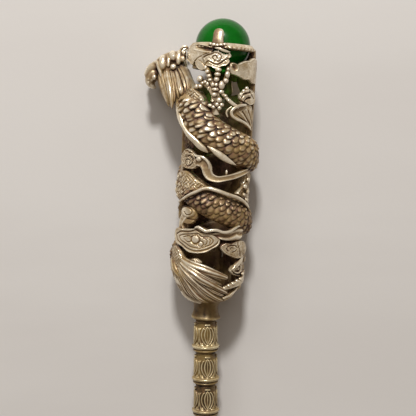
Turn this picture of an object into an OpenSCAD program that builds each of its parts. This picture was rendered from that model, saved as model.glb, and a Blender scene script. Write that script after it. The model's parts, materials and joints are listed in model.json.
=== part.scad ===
// Hair stick: a cast dragon coiled round an open cage, holding a green ball, on a petal stem and a plain pin.
// Millimetres. The stick lies on the surface at z = 0, its ball towards +Y.

/* [Ball] */
// Diameter of the green ball
ball_d = 12; // [11:0.1:13]
// Clearance between the ball and its seat
ball_gap = 0.12; // [0.08:0.01:0.2]

/* [Head] */
// Height of the ball's centre above the foot of the cup
ball_rise = 60.6; // [59:0.1:62]
// Inner radius of the open cage
core_r = 5.2; // [4.6:0.1:5.6]
// Angle by which the head leans to the side of the stem's line
head_lean = 3.6; // [0:0.1:5]
// Height of the scale relief on the dragon's body
scale_relief = 0.34; // [0.1:0.02:0.5]
// Outer radius of the ring that holds the ball, at its lower edge
ring_r = 7.1; // [6.9:0.05:7.4]
// Number of prongs that close over the ball
prongs = 2; // [2:1:4]

/* [Stem] */
// Pitch from one collar of the stem to the next
collar_pitch = 7.4; // [7:0.1:8]
// Number of petal segments on the stem
segments = 3; // [2:1:4]
// Radius of the collars
collar_r = 3.1; // [2.9:0.05:3.3]
// Radius of a petal segment at its middle, without the petals' relief
petal_r = 2.4; // [2.2:0.05:2.5]
// Height of the petals' relief
petal_relief = 0.35; // [0.1:0.05:0.4]
// Petals round one segment
petals = 9; // [6:1:12]

/* [Pin] */
// Diameter of the straight stretch of the pin
pin_d = 4; // [3.4:0.1:4.4]
// Length of the straight stretch
pin_straight = 45; // [30:1:60]
// Length of the tapered stretch
pin_taper = 40; // [25:1:50]
// Diameter at the rounded tip
tip_d = 1.8; // [1.2:0.1:2.4]

/* [Hidden] */

metal = "#a8946c";
glass_green = "#1c7a2c";

ball_r = ball_d / 2;
joint_gap = 0.1;
overlap = 0.5;
tenon_r = 1.6;
tenon_len = 3;
stem_top = joint_gap;
stem_neck = 0.4;
stem_end = stem_top + stem_neck + segments * collar_pitch;
spigot_r = 1.2;
spigot_len = 5;
pin_top = stem_end + joint_gap;
pin_r = pin_d / 2;
tip_r = tip_d / 2;
shoulder_r = 2.3;
shoulder_len = 1.5;
tip_centre = pin_top + shoulder_len + pin_straight + pin_taper;

// How the stick lies: its line rises towards the head, and the pin's tip and the coil's underside touch z = 0
coil_reach = 10.01;
coil_rise = 34.1;
lie_angle = asin((coil_reach - tip_r) / (coil_rise + tip_centre));
lift = tip_r + tip_centre * sin(lie_angle);

// Middle of the box that the stick fills: from beak to coil, and from the ball to the pin's tip
beak_side = -13.4;
coil_side = 11.9;
ball_front = ball_rise * cos(head_lean) * cos(lie_angle) + ball_r;
tip_back = -tip_centre * cos(lie_angle) - tip_r;
mid_x = (beak_side + coil_side) / 2;
mid_y = (ball_front + tip_back) / 2;

// A point of the head: turn in degrees from its upper side, rise above the cup's foot, reach from its axis
function around(turn, rise, reach) = [reach * sin(turn), rise, reach * cos(turn)];

function row_at(rows, i) = rows[max(0, min(len(rows) - 1, i))];

// A smooth curve through the rows, as a cubic through four neighbours
function between(rows, i, f) =
    let (p = row_at(rows, i - 1), q = row_at(rows, i), r = row_at(rows, i + 1), s = row_at(rows, i + 2))
    0.5 * (
        2 * q + (r - p) * f + (2 * p - 5 * q + 4 * r - s) * pow(f, 2)
        + (3 * q - p - 3 * r + s) * pow(f, 3)
    );

function smooth(rows, steps) = [
    for (i = [0 : len(rows) - 2], k = [0 : steps - 1]) between(rows, i, k / steps),
    rows[len(rows) - 1]
];

function unit(v) = v / norm(v);

function heading(path, i) =
    unit(path[min(i + 1, len(path) - 1)] - path[max(i - 1, 0)]);

// Triangles and quads that join rings of points into a closed solid
function ring_faces(rings, sides) = concat(
    [for (i = [0 : rings - 2], j = [0 : sides - 1]) [
        i * sides + j, i * sides + (j + 1) % sides,
        (i + 1) * sides + (j + 1) % sides, (i + 1) * sides + j
    ]],
    [[for (j = [sides - 1 : -1 : 0]) j]],
    [[for (j = [0 : sides - 1]) (rings - 1) * sides + j]]
);

// Rings across a path: each outline point is [across, outwards], and outwards is given for each path point
function rings_along(path, out, outlines) = [
    for (i = [0 : len(path) - 1])
        let (
            t = heading(path, i),
            n = unit(out[i] - t * (out[i] * t)),
            b = cross(t, n)
        )
        for (p = outlines[i]) path[i] + b * p[0] + n * p[1]
];

module swept(path, out, outlines) {
    polyhedron(
        points = rings_along(path, out, outlines),
        faces = ring_faces(len(path), len(outlines[0])),
        convexity = 6
    );
}

// A crowned band that follows the cage. Columns of rows: turn, rise, reach, half width, half thickness
curve_steps = 2;
edge_share = 0.3;

module ribbon(rows) {
    r = smooth(rows, curve_steps);
    swept(
        [for (q = r) around(q[0], q[1], q[2])],
        [for (q = r) around(q[0], 0, 1)],
        [for (q = r) [
            [q[3], -q[4]], [q[3], edge_share * q[4]], [0, q[4]], [-q[3], edge_share * q[4]], [-q[3], -q[4]]
        ]]
    );
}

// A tapered lock with five sides. Columns of rows: x, rise, z, radius
lock_sides = 5;
lock_up = [0.3, 0, 1];

module lock(rows) {
    r = smooth(rows, curve_steps);
    swept(
        [for (q = r) [q[0], q[1], q[2]]],
        [for (q = r) lock_up],
        [for (q = r) [
            for (j = [0 : lock_sides - 1])
                let (f = 360 * j / lock_sides)
                q[3] * [cos(f), sin(f)]
        ]]
    );
}

// A cloud head: a lobed plate on the cage with a raised eye and rim. Columns: share of its size, height
plate_rings = [[0.16, 0.95], [0.4, 0.3], [0.68, 0.85], [1, 0.2], [0.96, -1], [0.08, -1]];
plate_lobes = 5;
lobe_depth = 0.1;

module cloud(turn, rise, reach, half_w, half_h, depth, sides) {
    points = [for (q = plate_rings, j = [0 : sides - 1])
        let (
            f = 360 * j / sides,
            w = q[0] * (1 + lobe_depth * cos(plate_lobes * f)),
            across = half_w * w * cos(f)
        )
        around(turn + across / reach * 180 / PI, rise + half_h * w * sin(f), reach + q[1] * depth / 2)
    ];
    polyhedron(points = points, faces = ring_faces(len(plate_rings), sides), convexity = 4);
}

// Round lumps joined in a chain by tapers. Columns of rows: x, rise, z, radius
lump_sides = 8;
bead_sides = 6;

module lumps(rows, sides) {
    for (i = [0 : len(rows) - 2]) hull()
        for (q = [rows[i], rows[i + 1]])
            translate([q[0], q[1], q[2]]) sphere(r = q[3], $fn = sides);
}

// The dragon's body from the neck down to the tail. Columns: turn, rise, outer reach, half width
body_rows = [
    [-44, 52.0, 8.6, 2.6], [-50, 48.6, 10.3, 3.7], [-41, 45.0, 10.0, 3.8], [-19, 42.0, 9.3, 3.7],
    [6, 40.4, 9.0, 3.6], [34, 39.0, 9.1, 3.6], [62, 37.9, 9.2, 3.7], [91, 36.9, 9.2, 3.6],
    [120, 36.0, 9.4, 3.4], [148, 35.1, 9.7, 3.3], [177, 34.2, 9.7, 3.2], [207, 33.2, 9.2, 3.1],
    [238, 32.1, 8.6, 3.1], [270, 30.9, 8.2, 3.1], [301, 29.5, 8.6, 3.1], [331, 28.0, 8.8, 3.2],
    [360, 26.4, 8.9, 3.2], [388, 25.1, 8.8, 3.2], [417, 23.8, 8.7, 3.2], [447, 22.5, 8.6, 3.0],
    [478, 21.3, 8.3, 2.8], [510, 20.1, 8.2, 2.6], [542, 18.8, 8.2, 2.5], [574, 17.5, 8.2, 2.4],
    [607, 15.9, 8.3, 2.3], [640, 14.2, 8.4, 2.3]
];
body_mid = 7;
body_bulge = 0.85;
body_crown = 0.8;
body_inside = core_r + 0.25;
body_foot = 0.86;
body_steps = 4;
body_arc = 6;

// The body's outline at one ring: a half round over a flat inner face, with scales raised in diamonds
function body_outline(i, reach, half_w) = concat(
    [for (j = [0 : body_arc])
        let (
            f = 180 * j / body_arc,
            h = reach - body_bulge * half_w * (1 - pow(sin(f), body_crown)),
            raised = (i + j) % 2 == 1 && j > 0 && j < body_arc ? scale_relief : 0
        )
        [half_w * cos(f), h + raised - body_mid]
    ],
    [for (side = [-1, 1]) [side * body_foot * half_w, body_inside - body_mid]]
);

module body() {
    rows = smooth(body_rows, body_steps);
    swept(
        [for (q = rows) around(q[0], q[1], body_mid)],
        [for (q = rows) around(q[0], 0, 1)],
        [for (i = [0 : len(rows) - 1]) body_outline(i, rows[i][2], rows[i][3])]
    );
}

// The smooth belly edge and the fin below the first coil, and the rim above the second
module body_edges() {
    ribbon([
        [-86, 46.6, 9.0, 0.7, 0.9], [-66, 43.2, 8.8, 0.8, 0.9], [-45, 40.4, 8.6, 0.8, 0.9],
        [-28, 38.8, 8.4, 0.7, 0.9], [-13, 37.8, 7.9, 0.5, 0.8]
    ]);
    ribbon([
        [-10, 38.6, 8.4, 0.35, 0.7], [4, 37.4, 8.7, 0.7, 0.5], [18, 36.2, 8.8, 0.6, 0.5],
        [31, 35.0, 8.8, 0.2, 0.4]
    ]);
    ribbon([
        [-66, 31.6, 7.9, 0.6, 0.8], [-38, 31.4, 8.2, 0.5, 0.8], [-12, 30.2, 8.5, 0.45, 0.8],
        [16, 29.2, 8.6, 0.5, 0.8], [46, 27.4, 8.5, 0.45, 0.8], [70, 25.8, 8.2, 0.3, 0.6]
    ]);
}

// The neck rises from the first coil to the skull. Columns: x, rise, z, radius
neck = [[-6.2, 48.6, 3.6, 3.0], [-8.4, 51.6, 0.6, 2.9], [-9.8, 54.8, -2.6, 2.8]];
// The skull hooks down to a beak. Columns: x, rise, z of its upper cheek, z of its lower cheek, radius
skull = [
    [-8.2, 57.2, -2.3, -6.8, 2.3], [-11.4, 56.5, -2.5, -7.4, 2.3], [-13.9, 55.1, -2.7, -6.6, 1.9],
    [-15.6, 53.2, -3.0, -4.6, 1.2], [-14.7, 51.2, -3.3, -3.5, 0.5]
];
// The lower cheek, on which the head rests. Columns: x, rise, z, radius
far_cheek = [[-12.6, 55.2, -8.0, 1.4], [-9.6, 55.9, -10.0, 1.5]];

module skull_core() {
    for (i = [0 : len(skull) - 2]) hull()
        for (q = [skull[i], skull[i + 1]], z = [q[2], q[3]])
            translate([q[0], q[1], z]) sphere(r = q[4], $fn = lump_sides);
}

// Ridges across the brow, each a short upright lump. Columns: x, rise at its foot, rise at its top, z, radius
brow_ridges = [
    [-14.5, 55.9, 56.9, -0.6, 1.0], [-12.8, 56.2, 57.3, -0.2, 1.1], [-10.9, 57.6, 58.0, 0.0, 1.1],
    [-9.6, 56.8, 57.8, 0.1, 0.8], [-8.4, 57.0, 58.0, 0.1, 0.8]
];
// Round knobs of eye, cheek and nostril. Columns: x, rise, z, radius
knobs = [[-10.5, 55.4, 1.2, 0.9], [-8.5, 58.9, 0.7, 0.8], [-14.7, 52.8, -1.9, 0.85]];

module face() {
    for (q = brow_ridges) lumps([[q[0], q[1], q[3], q[4]], [q[0], q[2], q[3], q[4]]], bead_sides);
    for (q = knobs) translate([q[0], q[1], q[2]]) sphere(r = q[3], $fn = lump_sides);
}

// The curl behind the brow. Columns: x, rise, z, radius
crest = [[-8.3, 59.3, 0.2, 0.6], [-8.0, 60.4, -0.2, 0.25]];

module dragon_head() {
    lumps(neck, lump_sides);
    skull_core();
    lumps(far_cheek, lump_sides);
    face();
    lumps(crest, bead_sides);
}

// Locks of the mane, from under the skull down over the neck. Columns: x, rise, z, radius
mane = [
    [[-13.5, 54.4, -1.4, 0.8], [-12.7, 51.6, 0.0, 0.9], [-11.6, 48.8, 1.4, 0.8], [-10.6, 46.2, 2.4, 0.3]],
    [[-12.3, 54.8, -0.2, 0.8], [-11.5, 51.6, 1.8, 0.9], [-10.8, 48.8, 3.0, 0.8], [-10.2, 46.2, 3.6, 0.3]],
    [[-10.9, 55.0, 0.4, 0.8], [-10.6, 52.0, 2.6, 0.9], [-10.0, 49.4, 4.0, 0.8], [-9.6, 47.0, 4.6, 0.3]],
    [[-9.6, 55.2, 0.4, 0.8], [-9.1, 52.6, 2.8, 0.9], [-8.6, 50.6, 4.2, 0.7], [-8.3, 49.4, 4.8, 0.3]],
    [[-8.0, 55.4, 0.8, 0.8], [-7.4, 53.6, 3.0, 0.9], [-6.6, 52.0, 4.4, 0.8], [-6.2, 50.6, 5.4, 0.4]],
    [[-13.0, 54.0, -4.6, 1.0], [-11.8, 51.0, -2.8, 1.1], [-10.4, 47.6, -0.2, 0.4]],
    [[-11.0, 54.0, -7.2, 1.1], [-10.2, 51.2, -4.6, 1.2], [-9.2, 48.2, -1.4, 0.4]]
];

// The clawed foot under the ring and its leg down to the first coil. Columns: turn, rise, reach, radius
toes = [
    [[-28, 55.0, 7.7, 0.9], [-22, 53.7, 7.9, 0.95], [-16, 52.4, 7.9, 0.95]],
    [[-5, 55.2, 7.8, 1.0], [-6, 53.8, 8.0, 1.05], [-8, 52.2, 7.8, 1.1]],
    [[12, 54.6, 7.8, 0.9], [8, 53.2, 7.9, 0.95], [1, 51.9, 7.8, 0.95]],
    [[-37, 53.1, 7.5, 1.0], [-28, 52.3, 7.6, 1.05], [-19, 51.3, 7.6, 1.0]],
    [[-9, 50.7, 7.7, 1.1], [-9, 49.1, 7.7, 1.1], [-8, 47.5, 7.5, 1.15], [-6, 45.9, 7.3, 1.2]],
    [[1, 50.3, 7.5, 1.0], [10, 49.6, 7.4, 1.0], [18, 48.6, 7.4, 1.0]]
];

module foot() {
    for (chain = toes, q = chain) translate(around(q[0], q[1], q[2])) sphere(r = q[3], $fn = bead_sides);
}

// Cloud ribbons that show. Columns: turn, rise, reach, half width, half thickness
clouds_shown = [
    [[-44, 35.8, 7.7, 1.0, 0.8], [-30, 35.8, 7.8, 1.0, 0.8], [-14, 36.3, 7.9, 0.9, 0.8],
     [-6, 35.4, 7.9, 0.8, 0.8], [-8, 33.8, 7.8, 0.8, 0.8], [4, 32.4, 7.8, 0.7, 0.8],
     [24, 32.0, 7.8, 0.6, 0.8], [44, 32.2, 7.7, 0.6, 0.8], [62, 33.2, 7.5, 0.7, 0.8],
     [80, 34.6, 7.3, 0.8, 0.8]],
    [[60, 33.0, 7.2, 0.8, 0.8], [57, 30.0, 7.3, 0.8, 0.8], [60, 26.4, 7.2, 0.8, 0.8]],
    [[-56, 36.0, 7.2, 1.0, 0.8], [-70, 34.4, 7.1, 0.9, 0.8], [-76, 31.6, 7.0, 0.9, 0.8]],
    [[-30, 20.6, 7.8, 0.7, 0.8], [-12, 21.2, 8.0, 0.7, 0.8], [2, 20.4, 8.0, 0.7, 0.8],
     [18, 20.7, 8.0, 0.8, 0.8], [34, 20.2, 7.9, 0.9, 0.8], [50, 20.9, 7.8, 0.9, 0.8],
     [66, 21.4, 7.5, 0.8, 0.8]],
    [[-56, 18.8, 7.5, 1.0, 0.8], [-70, 17.4, 7.5, 1.0, 0.8], [-82, 15.4, 7.4, 0.9, 0.8]],
    [[-50, 23.8, 7.2, 1.0, 0.8], [-64, 21.4, 7.0, 0.9, 0.8], [-56, 19.0, 7.0, 0.8, 0.8]],
    [[68, 17.4, 7.3, 0.9, 0.8], [82, 13.8, 7.2, 0.9, 0.8], [72, 11.0, 7.2, 1.0, 0.8],
     [52, 9.0, 7.0, 0.9, 0.8], [36, 7.2, 6.5, 0.8, 0.8], [18, 6.0, 5.8, 0.7, 0.8]],
    [[24, 46.0, 7.5, 0.6, 0.7], [19, 47.4, 7.6, 0.5, 0.7], [30, 48.2, 7.7, 0.6, 0.7],
     [44, 47.0, 7.7, 0.7, 0.7], [56, 44.6, 7.7, 0.7, 0.7], [64, 41.4, 7.5, 0.6, 0.7]],
    [[22, 46.4, 7.4, 0.5, 0.7], [34, 44.8, 7.4, 0.6, 0.7], [48, 42.6, 7.4, 0.6, 0.7]],
    [[44, 50.2, 7.4, 1.4, 0.8], [52, 48.4, 7.5, 1.0, 0.8], [56, 45.8, 7.4, 0.7, 0.8]],
    [[76, 60.0, 6.8, 0.7, 0.7], [77, 55.0, 7.0, 0.8, 0.6], [72, 50.0, 7.1, 0.8, 0.6],
     [76, 45.0, 7.2, 0.8, 0.6], [78, 39.6, 7.2, 0.8, 0.6]],
    [[13, 56.0, 7.1, 0.8, 0.6], [32, 55.7, 7.1, 1.3, 0.6], [48, 55.4, 7.1, 2.0, 0.6],
     [62, 55.3, 7.1, 2.5, 0.6], [78, 55.3, 7.0, 2.6, 0.6]],
    [[-76, 59.4, 7.0, 0.9, 0.7], [-62, 57.8, 7.2, 1.3, 0.7], [-42, 57.5, 7.2, 1.3, 0.7],
     [-20, 57.5, 7.2, 1.2, 0.7]]
];

// Cloud ribbons of the plain side, which rests below
clouds_below = [
    [[112, 59.8, 6.6, 0.9, 0.8], [120, 54.0, 7.0, 1.2, 0.8], [106, 48.0, 7.1, 1.3, 0.8],
     [118, 42.0, 7.1, 1.2, 0.8], [116, 38.0, 7.1, 1.0, 0.8]],
    [[256, 59.8, 6.6, 0.9, 0.8], [258, 54.0, 7.0, 1.0, 0.8], [246, 47.6, 7.1, 1.2, 0.8],
     [258, 41.0, 7.1, 1.2, 0.8], [252, 33.6, 7.0, 1.0, 0.8]],
    [[112, 47.4, 7.0, 1.2, 0.8], [146, 45.4, 7.1, 1.3, 0.8], [186, 47.4, 7.1, 1.3, 0.8],
     [220, 45.6, 7.1, 1.3, 0.8], [250, 45.4, 7.0, 1.2, 0.8]],
    [[126, 33.6, 7.0, 1.0, 0.8], [136, 28.0, 7.0, 1.4, 0.8], [128, 23.0, 7.0, 1.0, 0.8]],
    [[232, 31.4, 7.0, 1.0, 0.8], [216, 26.0, 7.0, 1.4, 0.8], [226, 19.6, 7.0, 1.0, 0.8]],
    [[132, 18.8, 7.0, 1.0, 0.8], [142, 12.6, 7.0, 1.4, 0.8], [132, 7.6, 6.4, 1.2, 0.8],
     [144, 5.4, 5.4, 0.8, 0.8]],
    [[238, 15.2, 7.0, 1.2, 0.8], [228, 10.6, 6.9, 1.4, 0.8], [240, 7.0, 6.2, 1.2, 0.8],
     [228, 5.2, 5.2, 0.8, 0.8]]
];

// Cloud heads. Columns: turn, rise, reach, half width, half height, depth, sides
cloud_heads = [
    [-9, 57.3, 7.2, 2.4, 2.1, 1.6, 12], [-52, 36.4, 7.5, 1.9, 1.9, 1.7, 10],
    [-21, 18.7, 7.6, 5.0, 3.0, 2.0, 16], [46, 16.6, 7.4, 3.7, 2.3, 1.6, 12],
    [-46, 23.9, 7.6, 2.6, 1.9, 2.2, 10], [176, 26.6, 7.1, 4.4, 3.6, 1.5, 10],
    [152, 50.0, 7.0, 3.6, 3.0, 1.4, 10], [192, 40.8, 7.1, 4.4, 4.3, 1.5, 10],
    [186, 12.4, 7.0, 4.0, 3.6, 1.5, 10]
];

module cage_clouds() {
    for (rows = concat(clouds_shown, clouds_below)) ribbon(rows);
    for (q = cloud_heads) cloud(q[0], q[1], q[2], q[3], q[4], q[5], q[6]);
}

// The tail's tuft, lock by lock, from its root down to the right. Columns: turn, rise, reach, radius
tuft = [
    [[-84, 14.6, 7.4, 1.3], [-52, 14.2, 7.9, 1.2], [-22, 13.0, 7.9, 1.0], [6, 11.8, 7.8, 0.8],
     [30, 10.4, 7.5, 0.3]],
    [[-84, 13.4, 7.6, 1.2], [-52, 12.6, 8.0, 1.2], [-20, 10.9, 8.0, 1.1], [8, 8.8, 7.5, 0.8],
     [34, 6.4, 6.9, 0.3]],
    [[-80, 12.6, 7.6, 1.2], [-50, 11.2, 7.9, 1.1], [-22, 8.9, 7.8, 1.1], [4, 6.6, 7.1, 0.8],
     [30, 5.0, 6.4, 0.3]],
    [[-80, 11.4, 7.4, 1.2], [-54, 9.8, 7.7, 1.1], [-30, 7.4, 7.4, 1.0], [-10, 5.6, 6.7, 0.7],
     [4, 4.8, 6.0, 0.3]],
    [[-82, 10.6, 7.2, 1.2], [-62, 8.6, 7.3, 1.2], [-44, 6.6, 6.9, 0.9], [-26, 5.2, 6.2, 0.3]],
    [[-98, 11.8, 7.0, 1.3], [-90, 8.8, 7.0, 1.2], [-76, 6.6, 6.5, 0.9], [-58, 5.2, 5.8, 0.3]]
];

module tail_tuft() {
    for (rows = tuft) lock([for (q = rows) concat(around(q[0], q[1], q[2]), q[3])]);
}

// The cup that the stem enters and the funnel that gathers the cage into it. Columns: reach, rise
cup = [
    [0, 0], [2.9, 0], [3.35, 0.6], [2.7, 2.0], [2.9, 3.6], [6.4, 6.4], [6.3, 7.2], [0, 5.2]
];
// The bezel round the ball and the seat under it. Columns: reach, rise above the ball's centre
bezel = [[5.7, -1.2], [ring_r, -1.2], [ring_r - 0.1, -0.7], [6.6, 0.35], [5.7, 0.35]];
seat = [[5.0, -5.3], [6.4, -5.3], [6.6, -4.6], [5.0, -4.6]];
// A prong that closes over the ball. Columns: x, rise above the ball's centre, z, radius
prong = [[0, -0.2, 6.75, 1.0], [0, 1.4, 6.5, 1.05], [0, 2.5, 6.1, 0.95]];
prong_turn = -10;
cup_sides = 20;
bezel_sides = 30;
hollow_sides = 28;
socket_sides = 24;
socket_depth = tenon_len + 0.2;

module turned(outline, sides) {
    along() rotate_extrude($fn = sides) polygon(outline);
}

module holder() {
    turned(cup, cup_sides);
    translate([0, ball_rise, 0]) {
        turned(bezel, bezel_sides);
        turned(seat, cup_sides);
        for (k = [0 : prongs - 1]) rotate([0, prong_turn + k * 360 / prongs, 0]) lumps(prong, bead_sides);
    }
}

module head() {
    color(metal) lying() in_head() difference() {
        union() {
            holder();
            body();
            body_edges();
            dragon_head();
            for (rows = mane) lock(rows);
            foot();
            cage_clouds();
            tail_tuft();
        }
        translate([0, ball_rise, 0]) sphere(r = ball_r + ball_gap, $fn = hollow_sides);
        along() translate([0, 0, -overlap])
            cylinder(r = tenon_r + 2 * joint_gap, h = socket_depth + overlap, $fn = socket_sides);
    }
}

module ball() {
    color(glass_green) lying() in_head() translate([0, ball_rise, 0]) sphere(r = ball_r, $fn = 96);
}

module in_head() {
    rotate([0, 0, -head_lean]) children();
}

// Lays the stick down: its line rises towards the head
module lying() {
    translate([-mid_x, -mid_y, lift]) rotate([lie_angle, 0, 0]) children();
}

// Turns a shape made round Z so that its axis runs along the stick
module along() {
    rotate([-90, 0, 0]) children();
}

neck_r = petal_r - 0.25;
petal_end_r = petal_r - 0.1;

// One segment of the stem, from its petals to its collar. Columns: way down, reach, share of the petal relief
segment_rows = [
    [0, neck_r, 0], [0.8, petal_end_r, 0.5], [2.4, petal_r, 1], [4.2, petal_r, 1],
    [5.3, petal_end_r, 0.4], [5.5, petal_end_r, 0], [5.6, collar_r - 0.2, 0], [6, collar_r, 0],
    [6.5, collar_r, 0], [6.9, collar_r - 0.2, 0], [7, neck_r, 0]
];
// The tenon above the first segment, and the socket that takes the pin
tenon_rows = [[-tenon_len, tenon_r - 0.1, 0], [0.1 - tenon_len, tenon_r, 0], [stem_top, tenon_r, 0]];
socket_rows = [
    [stem_end, neck_r, 0], [stem_end, spigot_r + joint_gap, 0],
    [stem_end - spigot_len - joint_gap, spigot_r + joint_gap, 0]
];
stem_rows = concat(
    tenon_rows,
    [[stem_top, neck_r, 0]],
    [for (k = [0 : segments - 1], q = segment_rows)
        [stem_top + stem_neck + k * collar_pitch + q[0], q[1], q[2]]],
    socket_rows
);
petal_steps = 4;

module stem() {
    sides = petals * petal_steps;
    points = [for (q = stem_rows, j = [0 : sides - 1])
        let (r = q[1] + q[2] * petal_relief * abs(cos(180 * j / petal_steps + 45)))
        [r * sin(360 * j / sides), -q[0], r * cos(360 * j / sides)]
    ];
    color(metal) lying()
        polyhedron(points = points, faces = ring_faces(len(stem_rows), sides), convexity = 8);
}

// The plain pin below the stem, with a spigot in the stem's end and a rounded tip
module pin() {
    color(metal) lying() rotate([90, 0, 0]) {
        translate([0, 0, pin_top - spigot_len]) cylinder(r = spigot_r, h = spigot_len + overlap, $fn = 48);
        translate([0, 0, pin_top]) cylinder(r1 = shoulder_r, r2 = pin_r, h = shoulder_len, $fn = 64);
        translate([0, 0, pin_top + shoulder_len]) cylinder(r = pin_r, h = pin_straight, $fn = 64);
        translate([0, 0, tip_centre - pin_taper]) cylinder(r1 = pin_r, r2 = tip_r, h = pin_taper, $fn = 64);
        translate([0, 0, tip_centre]) sphere(r = tip_r, $fn = 48);
    }
}

ball();
head();
stem();
pin();
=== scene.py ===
"""The looks of a hair stick: a cast dragon round an open cage, a green ball, a petal stem and a plain pin."""
import json
import math
import bpy
import numpy as np
from mathutils import Matrix, Vector


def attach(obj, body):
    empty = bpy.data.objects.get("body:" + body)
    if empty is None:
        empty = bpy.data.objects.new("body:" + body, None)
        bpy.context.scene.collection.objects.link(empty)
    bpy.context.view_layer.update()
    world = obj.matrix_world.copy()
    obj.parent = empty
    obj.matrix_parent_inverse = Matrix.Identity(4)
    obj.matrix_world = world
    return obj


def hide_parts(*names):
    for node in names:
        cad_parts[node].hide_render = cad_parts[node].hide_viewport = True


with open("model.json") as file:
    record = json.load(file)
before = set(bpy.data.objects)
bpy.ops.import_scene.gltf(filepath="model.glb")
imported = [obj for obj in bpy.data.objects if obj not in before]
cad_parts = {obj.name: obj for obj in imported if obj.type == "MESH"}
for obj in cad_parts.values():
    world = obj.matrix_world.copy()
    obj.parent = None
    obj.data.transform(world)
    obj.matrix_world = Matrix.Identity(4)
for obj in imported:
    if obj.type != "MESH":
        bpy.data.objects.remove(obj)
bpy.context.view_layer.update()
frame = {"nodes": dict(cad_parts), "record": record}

MM = 0.001

# Places that the solids share, in mm. Rise counts from the foot of the cup, along the head's own line.
HEAD_LEAN = math.radians(3.6)
BALL_RISE = 60.6
BALL_R = 6.0
CORE_R = 5.2
SHANK_BELOW_CUP = 46.8

# The stick's own frame: across it, along it towards the ball, and away from the floor
shank = frame["record"]["mounts"][0]
LINE = -np.array(shank["axis"], float)
LINE /= np.linalg.norm(LINE)
SIDE = np.array([1.0, 0.0, 0.0])
AWAY = np.cross(SIDE, LINE)
CUP_FOOT = np.array(shank["pos_m"], float) + SHANK_BELOW_CUP * MM * LINE


def laid_stem(points):
    """Points across, along and away from the stick's line, in mm, become points of the frame in metres."""
    p = np.asarray(points, float) * MM
    return CUP_FOOT + p[..., :1] * SIDE + p[..., 1:2] * LINE + p[..., 2:] * AWAY


def laid_head(points):
    """As laid_stem, with the head's own line turned by its lean from the stick's line."""
    p = np.asarray(points, float)
    c, s = math.cos(HEAD_LEAN), math.sin(HEAD_LEAN)
    turned = np.stack([p[..., 0] * c + p[..., 1] * s, p[..., 1] * c - p[..., 0] * s, p[..., 2]], -1)
    return laid_stem(turned)


# Curves and surfaces

SPAN_SAMPLES = 24


def around(turn, rise, reach):
    """A point of the head: turn in degrees from its upper side, rise along its line, reach from its line."""
    a = np.radians(turn)
    return np.stack(np.broadcast_arrays(reach * np.sin(a), rise, reach * np.cos(a)), -1)


def unit(v):
    """Each vector divided by its length."""
    return v / np.maximum(np.linalg.norm(v, axis=-1, keepdims=True), 1e-12)


def eased(x, low, high):
    """0 below low, 1 above high and 3x^2 - 2x^3 between."""
    t = np.clip((x - low) / (high - low), 0, 1)
    return t * t * (3 - 2 * t)


def curve_point(before, start, end, after, f):
    """The point at the share f of the way from start to end, on the cubic curve whose heading at each of
    them is half the step between its two neighbours."""
    square = 2 * before - 5 * start + 4 * end - after
    cube = 3 * start - before - 3 * end + after
    return 0.5 * (2 * start + (end - before) * f + square * f ** 2 + cube * f ** 3)


def through(rows, step, place):
    """A smooth curve through the rows, read at equal lengths of the line that place() makes of them: its
    rows, and their way along the line."""
    p = np.asarray(rows, float)
    p = np.vstack([2 * p[0] - p[1], p, 2 * p[-1] - p[-2]])
    f = np.linspace(0, 1, SPAN_SAMPLES, endpoint=False)[None, :, None]
    dense = curve_point(*(p[k:len(p) - 3 + k][:, None, :] for k in range(4)), f)
    dense = np.vstack([dense.reshape(-1, p.shape[1]), p[-2]])
    length = np.r_[0, np.cumsum(np.linalg.norm(np.diff(place(dense), axis=0), axis=1))]
    at = np.linspace(0, length[-1], max(4, int(round(length[-1] / step)) + 1))
    return np.stack([np.interp(at, length, column) for column in dense.T], -1), at


def finer(outline, steps):
    """A closed outline smoothed by the same curve through its points."""
    p = np.asarray(outline, float)
    f = np.linspace(0, 1, steps, endpoint=False)[None, :, None]
    smooth = curve_point(*(np.roll(p, k, axis=0)[:, None] for k in (1, 0, -1, -2)), f)
    return smooth.reshape(-1, p.shape[1])


def cage_place(q):
    """Rows whose first columns are turn, rise and reach."""
    return around(q[:, 0], q[:, 1], q[:, 2])


def free_place(q):
    """Rows whose first columns are x, rise and z."""
    return q[:, :3]


def carried(path, out, across, height):
    """A profile carried along a path: across goes to its side and height outwards, square to its heading."""
    t = unit(np.gradient(path, axis=0))
    n = unit(out - t * (out * t).sum(-1, keepdims=True))
    b = np.cross(t, n)
    return path[:, None] + across[..., None] * b[:, None] + height[..., None] * n[:, None]


def grid_faces(rings, sides, joined):
    """Four-sided faces over rings of points, and, where joined, from the last ring back to the first."""
    ring, side = np.meshgrid(np.arange(rings if joined else rings - 1), np.arange(sides), indexing="ij")
    here, there = ring * sides, (ring + 1) % rings * sides
    beside = (side + 1) % sides
    return np.stack([here + side, there + side, there + beside, here + beside], -1).reshape(-1, 4)


def facing_out(verts, quads, caps):
    """The faces, turned round where the volume inside them counts as negative."""
    v = verts[quads]
    volume = (v[:, 0] * np.cross(v[:, 1] - v[:, 0], v[:, 2] - v[:, 0])).sum()
    volume += (v[:, 0] * np.cross(v[:, 2] - v[:, 0], v[:, 3] - v[:, 0])).sum()
    if volume < 0:
        return quads[:, ::-1], caps[:, ::-1]
    return quads, caps


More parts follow.
